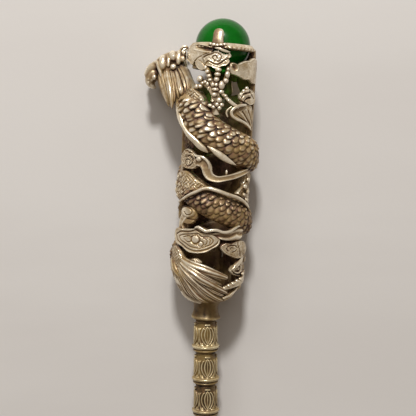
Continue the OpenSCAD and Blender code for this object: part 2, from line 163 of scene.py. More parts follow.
def closed_tube(points, relief):
    """A grid of rings (rings, sides, 3) with a fan over each end, as (points, quads, triangles, relief)."""
    rings, sides = points.shape[:2]
    side = np.arange(sides)
    beside = (side + 1) % sides
    last = (rings - 1) * sides
    caps = np.vstack([
        np.stack([np.full(sides, rings * sides), side, beside], -1),
        np.stack([np.full(sides, rings * sides + 1), last + beside, last + side], -1),
    ])
    verts = np.vstack([points.reshape(-1, 3), points[0].mean(0), points[-1].mean(0)])
    relief = np.broadcast_to(relief, (rings, sides))
    height = np.r_[relief.ravel(), relief[0].mean(), relief[-1].mean()]
    return verts, *facing_out(verts, grid_faces(rings, sides, False), caps), height


def closed_ring(points, relief):
    """A closed section turned full circle: as closed_tube, with the last ring joined to the first."""
    rings, sides = points.shape[:2]
    verts = points.reshape(-1, 3)
    quads, caps = facing_out(verts, grid_faces(rings, sides, True), np.zeros((0, 3), int))
    return verts, quads, caps, np.broadcast_to(relief, (rings, sides)).ravel()


def finish_mesh(mesh, relief):
    """Gives a mesh its relief, from 0 in a recess to 1 on a high place, with painted highlights and shadows
    in some pieces, and rounds its shading.
    """
    mesh.attributes.new("relief", "FLOAT", "POINT").data.foreach_set("value", relief.astype(np.float32))
    mesh.polygons.foreach_set("use_smooth", np.ones(len(mesh.polygons), bool))


def made(name, shapes, material, lay=laid_head, stands_for=()):
    """One mesh object from several closed shapes, laid in the frame and riding on the part's one body."""
    offset = np.cumsum([0] + [len(s[0]) for s in shapes])
    faces = []
    for first, (verts, quads, caps, relief) in zip(offset, shapes):
        faces += (quads + first).tolist() + (caps + first).tolist()
    mesh = bpy.data.meshes.new(name)
    mesh.from_pydata(lay(np.vstack([s[0] for s in shapes])).tolist(), [], faces)
    finish_mesh(mesh, np.concatenate([s[3] for s in shapes]))
    mesh.materials.append(material)
    piece = bpy.data.objects.new(name, mesh)
    bpy.context.scene.collection.objects.link(piece)
    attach(piece, "root")
    for node in stands_for:
        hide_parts(node)
    return piece


# Finishes

def set_inputs(node, **values):
    """Sets a node's inputs by name, where a space in a name is written as an underscore."""
    for name, value in values.items():
        node.inputs[name.replace("_", " ")].default_value = value


def add_node(tree, kind, **values):
    """A shader node with its inputs set."""
    added = tree.nodes.new(kind)
    set_inputs(added, **values)
    return added


def finish(name):
    """A new material, its node tree, its shader, and the socket of the piece's own coordinates."""
    material = bpy.data.materials.new(name)
    material.use_nodes = True
    tree = material.node_tree
    place = tree.nodes.new("ShaderNodeTexCoord").outputs["Object"]
    return material, tree, tree.nodes["Principled BSDF"], place


def noise(tree, place, **values):
    """The value of a noise at a place."""
    added = add_node(tree, "ShaderNodeTexNoise", **values)
    tree.links.new(place, added.inputs["Vector"])
    return added.outputs["Fac"]


def bumped(tree, height, strength, distance, below=None):
    """The normal of a bump of a height socket, on top of the bump below it."""
    bump = add_node(tree, "ShaderNodeBump", Strength=strength, Distance=distance * MM)
    tree.links.new(height, bump.inputs["Height"])
    if below is not None:
        tree.links.new(below, bump.inputs["Normal"])
    return bump.outputs["Normal"]


def over(tree, factor, below, colour):
    """Lays a plain colour over another colour, plain or a socket, by a factor socket."""
    mix = tree.nodes.new("ShaderNodeMix")
    mix.data_type = "RGBA"
    low, high = mix.inputs[6], mix.inputs[7]
    high.default_value = (*colour, 1)
    if isinstance(below, tuple):
        low.default_value = (*below, 1)
    else:
        tree.links.new(below, low)
    tree.links.new(factor, mix.inputs[0])
    return mix.outputs[2]


def math_node(tree, operation, a, b):
    """One step of arithmetic between sockets or numbers, held from 0 to 1."""
    step = tree.nodes.new("ShaderNodeMath")
    step.operation = operation
    step.use_clamp = True
    for socket, value in zip(step.inputs, (a, b)):
        if isinstance(value, (int, float)):
            socket.default_value = value
        else:
            tree.links.new(value, socket)
    return step.outputs[0]


def mapped(tree, value, span, onto=(0.0, 1.0)):
    """A socket's value moved from one span to another and held within it."""
    remap = add_node(tree, "ShaderNodeMapRange", From_Min=span[0], From_Max=span[1],
                     To_Min=onto[0], To_Max=onto[1])
    tree.links.new(value, remap.inputs["Value"])
    return remap.outputs[0]


# How far the metal is rubbed and out of painted shade, from 0 to 1, where each tone begins and where it is
# full
BROWN_SPAN = (0.07, 0.32)
TAN_SPAN = (0.22, 0.5)
BRIGHT_SPAN = (0.5, 0.88)
RUST_SPAN = (0.25, 0.75)
# What relief and sharp edges add to it, how strongly shelter takes it away as patina and painted shade, and
# what blotches make of it
RELIEF_SHARE = 0.64
EDGE_SHARE = 0.38
SHADE_AND_GRIME = 1.35
BLOTCH_SHARES = (0.7, 1.25)
SHELTER_MM = 1.6
SHELTER_SAMPLES = 12
# How strongly a yellower tan and the reddish spots show at the most
YELLOW_SHARE = 0.6
RUST_SHARE = 0.65
# From where to where the sharpness of an edge, the open air and each noise make their difference
EDGE_SPAN = (0.44, 0.56)
AIR_SPAN = (0.25, 0.95)
BLOTCH_SPAN = (0.3, 0.7)
DRIFT_SPAN = (0.45, 0.68)
SPOT_SPAN = (0.47, 0.64)
GRAIN_SPAN = (0.35, 0.75)
ROUGH_SPAN = (0.55, 0.2)
METAL_SPAN = (0.22, 0.5)


def cast_metal(name, dark, brown, tan, bright, rust):
    """Aged cast metal: dark brown in the recesses and where nearby surfaces shelter it, partly patina and
    partly painted shade, tan on the flanks and rubbed bright on the high places, with reddish spots where
    it is little rubbed, and a yellower tan in drifts."""
    material, tree, shader, place = finish(name)
    links = tree.links
    relief = tree.nodes.new("ShaderNodeAttribute")
    relief.attribute_name = "relief"
    shelter = add_node(tree, "ShaderNodeAmbientOcclusion", Distance=SHELTER_MM * MM)
    shelter.samples = SHELTER_SAMPLES
    drift = noise(tree, place, Scale=170.0, Detail=2.0)
    blotch = noise(tree, place, Scale=420.0, Detail=4.0, Roughness=0.6)
    spots = noise(tree, place, Scale=1300.0, Detail=3.0, Roughness=0.65)
    grain = noise(tree, place, Scale=3800.0, Detail=3.0, Roughness=0.6)
    edge = mapped(tree, tree.nodes.new("ShaderNodeNewGeometry").outputs["Pointiness"], EDGE_SPAN)
    open_air = mapped(tree, shelter.outputs["AO"], AIR_SPAN)
    high = math_node(tree, "ADD", math_node(tree, "MULTIPLY", relief.outputs["Fac"], RELIEF_SHARE),
                     math_node(tree, "MULTIPLY", edge, EDGE_SHARE))
    # Sheltered places darken: partly patina, partly painted shade from the occlusion of nearby surfaces
    wear_and_shade = math_node(tree, "MULTIPLY", high, math_node(tree, "POWER", open_air, SHADE_AND_GRIME))
    wear_and_shade = math_node(tree, "MULTIPLY", wear_and_shade, mapped(tree, blotch, BLOTCH_SPAN, BLOTCH_SHARES))
    colour = over(tree, mapped(tree, wear_and_shade, BROWN_SPAN), dark, brown)
    colour = over(tree, mapped(tree, wear_and_shade, TAN_SPAN), colour, tan)
    yellow = (tan[0], 0.92 * tan[1], 0.62 * tan[2])
    colour = over(tree, mapped(tree, drift, DRIFT_SPAN, (0.0, YELLOW_SHARE)), colour, yellow)
    little_rubbed = mapped(tree, wear_and_shade, RUST_SPAN, (1.0, 0.1))
    spotted = mapped(tree, spots, SPOT_SPAN, (0.0, RUST_SHARE))
    colour = over(tree, math_node(tree, "MULTIPLY", little_rubbed, spotted), colour, rust)
    colour = over(tree, mapped(tree, wear_and_shade, BRIGHT_SPAN), colour, bright)
    links.new(colour, shader.inputs["Base Color"])
    links.new(mapped(tree, wear_and_shade, (0.1, 0.8), METAL_SPAN), shader.inputs["Metallic"])
    rough = mapped(tree, wear_and_shade, (0.1, 0.75), ROUGH_SPAN)
    rough = math_node(tree, "ADD", rough, mapped(tree, grain, GRAIN_SPAN, (0.0, 0.1)))
    links.new(rough, shader.inputs["Roughness"])
    uneven = bumped(tree, spots, strength=0.3, distance=0.09)
    links.new(bumped(tree, grain, strength=0.25, distance=0.03, below=uneven), shader.inputs["Normal"])
    return material


PIN_STAINED = (0.42, 0.33, 0.19)
PIN_RUBBED = (0.54, 0.44, 0.27)
GLASS_DEEP = (0.002, 0.090, 0.005)
GLASS_CLOUDED = (0.004, 0.130, 0.008)
CLOTH_SHADED = (0.62, 0.595, 0.57)
CLOTH_LIT = (0.66, 0.64, 0.615)
FOLD_SLANT = math.radians(-18)


def rubbed_metal():
    """Plain rubbed metal with slow stains."""
    material, tree, shader, place = finish("pin_metal")
    worn = mapped(tree, noise(tree, place, Scale=300.0, Detail=4.0), (0.35, 0.65))
    tree.links.new(over(tree, worn, PIN_STAINED, PIN_RUBBED), shader.inputs["Base Color"])
    tree.links.new(mapped(tree, worn, (0.0, 1.0), (0.45, 0.3)), shader.inputs["Roughness"])
    set_inputs(shader, Metallic=0.6)
    return material


def green_glass():
    """Clouded green glass: a deep green body that lets some light through under a polished skin."""
    material, tree, shader, place = finish("green_glass")
    veil = mapped(tree, noise(tree, place, Scale=260.0, Detail=3.0, Distortion=0.6), (0.3, 0.7))
    tree.links.new(over(tree, veil, GLASS_DEEP, GLASS_CLOUDED), shader.inputs["Base Color"])
    set_inputs(shader, Roughness=0.22, IOR=1.5, Specular_IOR_Level=0.22, Subsurface_Weight=0.25,
               Subsurface_Radius=(0.1, 1.0, 0.15), Subsurface_Scale=2.0 * MM)
    return material


def pale_cloth():
    """A pale cloth floor: faint slanting folds in two near tones, and a fine weave."""
    material, tree, shader, place = finish("pale_cloth")
    slant = add_node(tree, "ShaderNodeMapping", Scale=(0.5, 1.6, 1.0), Rotation=(0, 0, FOLD_SLANT))
    tree.links.new(place, slant.inputs["Vector"])
    folds = noise(tree, slant.outputs[0], Scale=16.0, Detail=3.0, Distortion=0.4)
    weave = noise(tree, place, Scale=900.0, Detail=2.0)
    colour = over(tree, mapped(tree, folds, (0.3, 0.7)), CLOTH_SHADED, CLOTH_LIT)
    tree.links.new(colour, shader.inputs["Base Color"])
    set_inputs(shader, Roughness=0.9, Specular_IOR_Level=0.2)
    ripple = bumped(tree, folds, strength=0.35, distance=1.2)
    fine = bumped(tree, weave, strength=0.12, distance=0.1, below=ripple)
    tree.links.new(fine, shader.inputs["Normal"])
    return material


white_metal = cast_metal(
    "white_metal", dark=(0.009, 0.005, 0.003), brown=(0.135, 0.066, 0.034), tan=(0.46, 0.34, 0.18),
    bright=(0.92, 0.825, 0.65), rust=(0.22, 0.10, 0.065))
stem_metal = cast_metal(
    "stem_metal", dark=(0.012, 0.007, 0.003), brown=(0.12, 0.070, 0.026), tan=(0.38, 0.28, 0.13),
    bright=(0.80, 0.69, 0.44), rust=(0.20, 0.105, 0.04))


def cast(name, shapes):
    """One piece of the head, in white metal."""
    return made(name, shapes, white_metal, stands_for=["head"])


# The dragon's body

# Columns: turn, rise, outer reach, half width
BODY_ROWS = [
    [-43, 50.4, 7.6, 0.4], [-45, 49.7, 8.9, 1.9], [-47, 48.9, 9.8, 3.1], [-48, 47.6, 10.2, 3.7],
    [-41, 45.0, 10.0, 3.8], [-19, 42.0, 9.3, 3.7], [6, 40.4, 9.0, 3.6], [34, 39.0, 9.1, 3.6],
    [62, 37.9, 9.2, 3.7], [91, 36.9, 9.2, 3.6], [120, 36.0, 9.4, 3.4], [148, 35.1, 9.7, 3.3],
    [177, 34.2, 9.7, 3.2], [207, 33.2, 9.2, 3.1], [238, 32.1, 8.6, 3.1], [270, 30.9, 8.0, 3.1],
    [301, 29.5, 8.1, 3.1], [331, 28.0, 8.6, 3.2], [360, 26.4, 8.9, 3.2], [388, 25.1, 8.8, 3.2],
    [417, 23.8, 8.7, 3.2], [447, 22.5, 8.6, 3.0], [478, 21.3, 8.3, 2.8], [510, 20.1, 8.2, 2.6],
    [542, 18.8, 8.2, 2.5], [574, 17.5, 8.2, 2.4], [607, 15.9, 8.3, 2.3], [640, 14.2, 8.4, 2.3],
]
# The reach at which the scales are laid out, and the reach of the body's own middle
BODY_SKIN = 8.6
BODY_MID = 7.0
# How round the body is, the pitch of its rings, their points outside and the width and points of their flat
# inner side, and the turn at which the body is parted in two
BODY_BULGE = 0.85
BODY_STEP = 0.11
BODY_SIDES = 106
INNER_SHARE = 0.9
INNER_POINTS = 7
BODY_PARTING = 300
# The scales' lattice. Columns: way round the cage in mm, a scale's width along its row, way to the next row
LATTICE = [
    [-9.0, 2.0, 1.05], [-3.0, 1.85, 1.1], [2.0, 1.75, 1.25], [7.0, 1.5, 1.15], [14.0, 1.32, 1.05],
    [48.0, 1.38, 1.2], [110.0, 1.2, 1.0],
]
# The body's rows from this one on lead the rows of scales. Before it they lie level.
LEVEL_UNTIL = 5
# The ways round the cage, in mm, over which the scales are counted, and in how many steps
COUNT_SPAN = (-20, 120)
COUNT_STEPS = 2800
SCALE_LEAN = 0.4
SCALE_LAP = 1.55
SCALE_HIGH = 0.72
# Straight sides up to this share of a scale's length, at this share of its half width, and then a round edge
SCALE_SIDES = 0.4
SCALE_WIDE = 0.93
# Where the dark crescent beyond a scale's free edge lies, partly stained metal and partly painted shadow, in
# lengths of its round edge, and how wide it is
STAIN_AND_SHADOW_AT = 1.1
STAIN_AND_SHADOW_WIDTH = 0.19
# How far a scale strays sideways and down, and how much its height and its tone differ from the others'
SCALE_SWAY = 0.2
SCALE_DROP = 0.24
SCALE_TILT = 0.26
SCALE_TONE = 0.3
# Where the scales begin, as shares of the way across from the belly, and where they end before the far
# edge and begin at the neck, in mm
BELLY_SPAN = (0.06, 0.15)
FAR_SPAN = (0.15, 0.5)
NECK_SPAN = (1.2, 2.2)
# The tone of the body's smooth parts
SMOOTH_TONE = 0.6
# How much duller the second coil and the right side are and how much brighter a painted highlight makes the
# neck, from which turns
DULL_COIL = 0.36
COIL_SPAN = (280, 330)
DULL_SIDE = 0.32
SIDE_SPAN = (22, 52)
BRIGHT_NECK = 0.55
BRIGHT_SIDE = (-2, 26)
# How far the plain strip beside the belly's edge reaches, as a share of the way across, and where it lies
PLAIN_STRIP = 0.16
STRIP_TURN = -33
STRIP_SPREAD = 18


def lattice(way, rise):
    """Counts scales along their rows and rows towards the belly. Rows lie level over the neck and follow the
    coil after it, and the scales lean back along the rows."""
    grid = np.asarray(LATTICE)
    line = np.asarray(BODY_ROWS[LEVEL_UNTIL:], float)
    level = np.interp(way, np.radians(line[:, 0]) * BODY_SKIN, line[:, 1])
    row = (level - rise) / np.interp(way, grid[:, 0], grid[:, 2])
    ways = np.linspace(*COUNT_SPAN, COUNT_STEPS + 1)
    count = np.cumsum((ways[1] - ways[0]) / np.interp(ways, grid[:, 0], grid[:, 1]))
    return np.interp(way, ways, count) + SCALE_LEAN * row, row


def scales(u, v):
    """Overlapping scales: each one's height climbs with the share y of its length, bulges across by
    sqrt(1 - x^2) and drops at a rounded free edge, and the highest scale over a place shows. Also gives a
    dark crescent just beyond each scale's free edge, partly stained metal and partly painted shadow, and
    each scale's own tone."""
    best, stain_and_shadow, tone = np.zeros(u.shape), np.zeros(u.shape), np.ones(u.shape)
    first = np.floor(v)
    for back in range(-1, 3):
        j = first - back
        shift = 0.5 * np.mod(j, 2)
        for side in (-1, 0, 1):
            i = np.round(u - shift) + side
            x = (u - shift - i + SCALE_SWAY * np.sin(5.1 * i + 3.7 * j)) * 2 / 1.06
            y = (v - j + SCALE_DROP * np.sin(8.3 * i - 2.9 * j)) / SCALE_LAP
            rounded = np.clip(1 - ((y - SCALE_SIDES) / (1 - SCALE_SIDES)) ** 2, 0, 1) ** 0.55
            wide = np.where(y < SCALE_SIDES, SCALE_WIDE, rounded * SCALE_WIDE)
            across = np.clip(1 - (x / np.maximum(wide, 1e-6)) ** 2, 0, 1) ** 0.5
            tilt = 0.86 + SCALE_TILT * np.sin(12.9 * i + 7.3 * j)
            plate = (0.08 + 0.92 * np.clip(y, 0, 1) ** 0.8) * across * (1 - 0.3 * eased(y, 0.75, 1.0)) * tilt
            plate = np.where((y >= 0) & (y <= 1) & (np.abs(x) < wide), plate, 0)
            tone = np.where(plate > best, 0.84 + SCALE_TONE * np.sin(21.7 * i + 11.3 * j), tone)
            best = np.maximum(best, plate)
            reach = np.hypot(x / 0.96, np.clip(y - SCALE_SIDES, 0, None) / (1 - SCALE_SIDES))
            # The crescent beyond each free edge: partly stained metal, partly painted shadow of the scale on
            # the next
            stain_and_shadow = np.maximum(stain_and_shadow, np.where(y > 0.45, np.exp(-((reach - STAIN_AND_SHADOW_AT) / STAIN_AND_SHADOW_WIDTH) ** 2), 0))
    return best, stain_and_shadow, tone


def body_skin():
    """The body as a half round carried down the coil, scales raised on it, flat on its inner side. Gives the
    turns of its rings, its points and its relief, with painted shadows beyond the scales' free edges and a
    painted highlight on the neck."""
    rows, way = through(BODY_ROWS, BODY_STEP, lambda q: around(q[:, 0], q[:, 1], BODY_SKIN))
    turn, rise, reach, half_w = (column[:, None] for column in rows.T)
    angle = np.linspace(0, np.pi, BODY_SIDES)[None]
    across = half_w * np.cos(angle)
    height = reach - BODY_BULGE * half_w * (1 - np.sin(angle) ** 0.8) - BODY_MID
    step = np.hypot(np.diff(across, axis=1), np.diff(height, axis=1))
    from_belly = np.hstack([np.zeros_like(turn), np.cumsum(step, axis=1)])
    total = from_belly[:, -1:]
    unrolled = np.hstack([np.radians(turn) * BODY_SKIN, rise])
    heading = unit(np.gradient(unrolled, axis=0))
    off = total / 2 - from_belly
    counted = lattice(unrolled[:, :1] + off * heading[:, 1:], unrolled[:, 1:] - off * heading[:, :1])
    plate, stain_and_shadow, tone = scales(*counted)
    strip = PLAIN_STRIP * np.exp(-((turn - STRIP_TURN) / STRIP_SPREAD) ** 4)
    show = eased(from_belly / total - strip, *BELLY_SPAN) * eased(total - from_belly, *FAR_SPAN)
    show = show * eased(way[:, None], *NECK_SPAN)
    height = height + SCALE_HIGH * plate * show
    # Scale tops rubbed brighter, darkened by the crescents of painted shadow and stained metal beyond the
    # free edges
    rubbed = np.clip(0.16 + 0.95 * plate, 0, 1) * (1 - stain_and_shadow * (1 - 0.25 * plate)) * tone
    rubbed = rubbed * (1 - DULL_COIL * eased(turn, *COIL_SPAN))
    # A painted highlight on the neck's scales, and painted shade in the gaps between them
    neck = eased(-turn, *BRIGHT_SIDE)
    rubbed = rubbed * (1 + BRIGHT_NECK * neck) - 0.2 * neck * (1 - plate)
    rubbed = rubbed * (1 - DULL_SIDE * eased(turn, *SIDE_SPAN))
    relief = SMOOTH_TONE * (1 - show) + show * rubbed
    under = np.linspace(-INNER_SHARE, INNER_SHARE, INNER_POINTS)[None] * half_w
    across = np.hstack([across, under])
    height = np.hstack([height, np.full_like(under, CORE_R + 0.3 - BODY_MID)])
    relief = np.hstack([relief, np.zeros_like(under)])
    turn, rise = rows[:, 0], rows[:, 1]
    return turn, carried(around(turn, rise, BODY_MID), around(turn, 0, 1), across, height), relief


def dragon_body():
    """The coil, parted where the second turn begins so that each piece stays light."""
    turn, points, relief = body_skin()
    parting = int(np.searchsorted(turn, BODY_PARTING))
    upper = closed_tube(points[:parting + 1], relief[:parting + 1])
    lower = closed_tube(points[parting:], relief[parting:])
    cast("body_upper", [upper])
    cast("body_lower", [lower])


# Bands, beads and plates

def band(rows, groove=0.35, boxy=0.75, step=0.16, sides=22, combs=0, wide=0.5):
    """A band on the cage: a rounded box profile with a hollow along its top, carried along the rows.
    Columns: turn, rise, reach, half width, half thickness and, where given, tone."""
    q = through(rows, step, cage_place)[0]
    return along_rows(q, cage_place(q), around(q[:, 0], 0, 1), groove, boxy, sides, combs, wide)


def lock(rows, out, groove, boxy=0.85, step=0.16, sides=20, combs=0):
    """A lock of hair, carried like a band through free space. Columns: x, rise, z, half width, half
    thickness."""
    q = through(rows, step, free_place)[0]
    return along_rows(q, q[:, :3], np.broadcast_to(out, (len(q), 3)), groove, boxy, sides, combs)


COMB_SWAY = 0.1
# How much darker than its depth a comb's groove and a band's hollow are
COMB_DARK = 2.2
HOLLOW_DARK = 0.9


def along_rows(rows, path, out, groove, boxy, sides, combs, wide=0.5):
    """The profile of bands and locks: |cos|^boxy across and |sin|^boxy outwards, less a flat-bottomed bell as
    wide as given or, where combs are counted, less that many grooves side by side that sway a little."""
    angle = np.linspace(0, 2 * np.pi, sides, endpoint=False)[None]
    half_w, half_t = rows[:, 3:4], rows[:, 4:5]
    x = np.sign(np.cos(angle)) * np.abs(np.cos(angle)) ** boxy
    y = np.sign(np.sin(angle)) * np.abs(np.sin(angle)) ** boxy
    if combs:
        way = np.linspace(0, 1, len(rows))[:, None]
        swayed = np.clip(x + COMB_SWAY * np.sin(9 * way + combs + 3 * rows[0, 1]), -1, 1)
        hollow = groove * np.sin(0.5 * np.pi * combs * (swayed + 1)) ** 2 * np.clip(2 * y, 0, 1)
    else:
        hollow = groove * np.exp(-(x / wide) ** 4) * (y > 0)
    relief = np.clip(0.5 + 0.5 * y - (COMB_DARK if combs else HOLLOW_DARK) * hollow, 0, 1)
    if rows.shape[1] > 5:
        relief = relief * rows[:, 5:6]
    return closed_tube(carried(path, out, half_w * x, half_t * (y - hollow)), relief)


BEAD_TILTS = 10
BEAD_TURNS = 14
BEAD_POLE = 0.08


def bead(place, size, out=(0, 0, 1), squash=(1, 1, 1)):
    """An egg: a grid of turns and tilts on a ball, stretched by squash across, along and outwards."""
    tilt = np.linspace(BEAD_POLE, np.pi - BEAD_POLE, BEAD_TILTS)[:, None]
    turn = np.linspace(0, 2 * np.pi, BEAD_TURNS, endpoint=False)[None]
    egg = [np.sin(tilt) * np.cos(turn), np.cos(tilt), np.sin(tilt) * np.sin(turn)]
    egg = np.stack(np.broadcast_arrays(*egg), -1)
    n = unit(np.asarray(out, float))
    b = unit(np.cross((0, 1, 0), n))
    t = np.cross(n, b)
    local = egg * np.asarray(squash) * size
    points = np.asarray(place) + local[..., :1] * b + local[..., 1:2] * t + local[..., 2:] * n
    return closed_tube(points, np.clip(0.62 + 0.38 * egg[..., 2], 0, 1))


def cage_bead(turn, rise, reach, size, wide, long, high=0.9):
    """An egg that sits on the cage, stretched across, along and outwards."""
    return bead(around(turn, rise, reach), size, around(turn, 0, 1), (wide, long, high))


def strokes(turn, rise, reach, lines):
    """Ridges and grooves drawn on the cage: each line (height, width, turns and rises) adds a bell of that
    height and width, in mm, of the way to the nearest point of its smooth curve."""
    total = np.zeros(np.broadcast(turn, rise).shape)
    for height, width, rows in lines:
        curve = through(rows, 0.1, lambda q: around(q[:, 0], q[:, 1], reach))[0]
        nearest = np.full(total.shape, np.inf)
        for at_turn, at_rise in curve:
            nearest = np.minimum(nearest, np.hypot(np.radians(turn - at_turn) * reach, rise - at_rise))
        total = total + height * np.exp(-(nearest / width) ** 2)
    return total


LINE_DEPTH = 0.8
# Shares of the way from a cloud's eye to its edge where the rings of its plain back lie
CLOUD_BACK = (1.0, 0.55, 0.04)


def cloud(eye, reach, depth, outline, pattern, lines=(), rings=34, steps=6):
    """A cloud head bent round the cage. Its edge is a smooth closed curve through the outline's turns and
    rises, and rings shrink it to its eye. Its top follows pattern(across, along, s), in mm from the eye,
    with s from 0 at the eye to 1 at the edge, and the lines drawn on it, and its back is plain."""
    edge = finer(outline, steps)[None]
    s = np.r_[np.linspace(0.02, 1, rings), CLOUD_BACK][:, None]
    turn = eye[0] + s * (edge[..., 0] - eye[0])
    rise = eye[1] + s * (edge[..., 1] - eye[1])
    top = pattern(np.radians(turn - eye[0]) * reach, rise - eye[1], s)
    top = top + LINE_DEPTH * strokes(turn, rise, reach, lines)
    back = np.arange(len(s))[:, None] >= rings
    height = np.where(back, -depth, depth * (top * (1 - 0.5 * eased(s, 0.93, 1.0)) - 0.5))
    relief = np.where(back, 0.0, np.clip(1.15 * top - 0.12, 0, 1))
    return closed_tube(around(turn, rise, reach + height), relief)


# Places and widths of the rim and the grooves are shares of the way from a cloud's eye to its edge
RIM_AT = 0.94
RIM_WIDTH = 0.06
GROOVE_DEEP = 0.32
GROOVE_WIDTH = 0.035
# The groove round a dome: its depth, and its place and width in radii of the dome
DOME_GROOVE = (0.2, 1.2, 0.16)


def carved(grooves=(), domes=(), ground=0.78, grain=0.0, rim=0.12, rough=0.0):
    """A carved top: thin grooves at shares of the way to the edge, a rim along the edge, and domes (across,
    along, radius, height): half balls within a groove. Grain adds curly ridges, the crossings of two bent
    sines, and rough adds fine ones."""
    def pattern(x, y, s):
        bent = np.sin(3.4 * x + 1.6 * np.sin(2.9 * y + 1.0))
        curl = np.abs(bent * np.sin(3.8 * y + 1.5 * np.sin(3.1 * x)))
        top = ground + 0.12 * (1 - s ** 2) + grain * (curl ** 0.5 - 0.6)
        top = top + rim * np.exp(-((s - RIM_AT) / RIM_WIDTH) ** 2)
        top = top + rough * np.sin(15 * x + 2 * np.sin(7 * y)) * np.sin(17 * y + 2 * np.sin(9 * x))
        for share in grooves:
            wave = share + 0.02 * np.sin(2.2 * x + 1.3 * y)
            top = top - GROOVE_DEEP * np.exp(-((s - wave) / GROOVE_WIDTH) ** 2)
        deep, at, width = DOME_GROOVE
        for across, along, radius, height in domes:
            d = np.hypot(x - across, y - along) / radius
            top = top + height * np.sqrt(np.clip(1 - d ** 2, 0, 1)) - deep * np.exp(-((d - at) / width) ** 2)
        return top
    return pattern


def lathed(outline, swell, turns):
    """A closed outline (reach, rise) turned about the line. swell(turn, reach, rise) gives what its reach
    gains and its relief."""
    reach, rise = np.asarray(outline, float).T[:, None]
    turn = np.linspace(0, 360, turns, endpoint=False)[:, None]
    extra, relief = swell(turn, reach, rise)
    return around(turn, rise, reach + extra), relief


# The holder of the ball, and the cup

# How deep the slow dents of the ring and the cup are
DENT = 0.05
# One section of the bezel ring. Columns: reach, rise above the ball's centre
BEZEL = [
    [5.75, -0.95], [6.3, -1.1], [6.9, -1.0], [7.15, -0.75], [7.1, -0.4], [6.85, -0.1], [6.7, 0.12],
    [6.45, 0.3], [6.1, 0.34], [5.85, 0.2],
]
BEZEL_TURNS = 528
# The row of beads: how many, their place below the ball's centre, how far they spread and how high they stand
BEZEL_BEADS = 44
BEADS_AT = -0.75
BEADS_SPREAD = 0.3
BEADS_HIGH = 0.22
CUP_TURNS = 96
# One section of the cup and funnel. Columns: reach, rise
CUP = [
    [1.8, 0.0], [2.9, 0.0], [3.2, 0.15], [3.28, 0.45], [3.05, 0.9], [2.85, 1.5], [2.78, 2.4], [2.85, 3.2],
    [3.2, 3.9], [4.2, 4.7], [5.4, 5.6], [6.3, 6.4], [6.4, 6.9], [6.1, 7.1], [5.2, 6.5], [3.6, 5.4],
    [1.8, 5.0],
]


def bezel():
    """The ring round the ball: its section turned full circle, with beads along its lower edge and its flank
    hammered by two slow waves."""
    def swell(turn, reach, rise):
        row = np.abs(np.sin(np.radians(turn) * BEZEL_BEADS / 2))
        outside = reach > 6.2
        low = np.exp(-((rise - BEADS_AT) / BEADS_SPREAD) ** 2) * outside
        extra = BEADS_HIGH * low * (row - 0.4) + DENT * np.sin(np.radians(7 * turn)) * outside
        relief = np.clip(0.45 + 0.5 * low * row + 0.35 * (rise > -0.35), 0, 1)
        return extra, relief * (reach > 5.9)

    points, relief = lathed(finer(BEZEL, 4), swell, BEZEL_TURNS)
    points[..., 1] += BALL_RISE
    return closed_ring(points, relief)


def cup():
    """The cup and funnel: its section turned full circle, with slow dents."""
    def swell(turn, reach, rise):
        extra = DENT * np.sin(np.radians(5 * turn) + 1.3 * rise) * (reach > 2)
        streak = 0.07 * np.sin(np.radians(9 * turn) + 2 * np.sin(np.radians(4 * turn)))
        # A dark tone with streaks, partly the cup's own darker metal and partly painted shade under the tuft,
        # and a lighter band round the lip, a painted highlight
        return extra, 0.17 + streak + 0.35 * np.exp(-((rise - 0.3) / 0.25) ** 2)

    return closed_ring(*lathed(finer(CUP, 4), swell, CUP_TURNS))


# A prong. Columns: rise above the ball's centre, reach, half width, half thickness
PRONG = [
    [-0.7, 6.6, 1.6, 0.5], [-0.1, 6.75, 1.35, 0.55], [0.8, 6.75, 1.14, 0.6], [1.7, 6.5, 1.12, 0.62],
    [2.4, 6.25, 1.08, 0.6], [2.9, 6.02, 0.85, 0.5], [3.14, 5.88, 0.4, 0.3],
]
PRONG_TURNS = [-10, 170]
# A prong's tone, how much brighter its half with the painted highlight is, and where across it that half
# begins
PRONG_TONE = 0.22
PRONG_SHINE = 0.7
PRONG_SPAN = (-0.35, 0.55)
BUMP_REACH = 7.2
# Bumps where a prong meets the ring: turn from the prong, rise above the ball's centre, size
PRONG_BUMPS = [(-12, -0.1, 0.42), (-6, -0.25, 0.5), (0, -0.35, 0.5), (6, -0.25, 0.5), (12, -0.1, 0.42)]


def prongs():
    """Fingers that close over the ball, each a rounded band up from the ring, with a painted highlight on one
    half.
    """
    shapes = []
    for turn in PRONG_TURNS:
        rows = [[turn, BALL_RISE + q[0], *q[1:]] for q in PRONG]
        verts, quads, caps, relief = band(rows, groove=0.1, boxy=0.9, step=0.12, sides=28)
        a = math.radians(turn)
        side = verts @ np.array([math.cos(a), 0, -math.sin(a)])
        # One half of each prong lighter: a painted highlight
        rubbed = PRONG_TONE + PRONG_SHINE * eased(side, *PRONG_SPAN)
        shapes.append((verts, quads, caps, relief * rubbed))
        for shift, rise, size in PRONG_BUMPS:
            shapes.append(cage_bead(turn + shift, BALL_RISE + rise, BUMP_REACH, size, 1.1, 0.8, 0.8))
    return shapes


# The rest under the ball, open towards the viewer. Columns: turn, rise, reach, half width, half thickness
SEAT = [[turn, 55.8, 5.9, 0.5, 0.5] for turn in (66, 110, 150, 190, 230, 270, 300)]


def holder():
    """The ring with its prongs, the cup, and the rest under the ball."""
    cast("bezel", [bezel()] + prongs())
    made("cup", [cup()], stem_metal, stands_for=["head"])
    cast("ball_seat", [band(SEAT, groove=0.0)])


# The clawed foot under the ring, and its leg

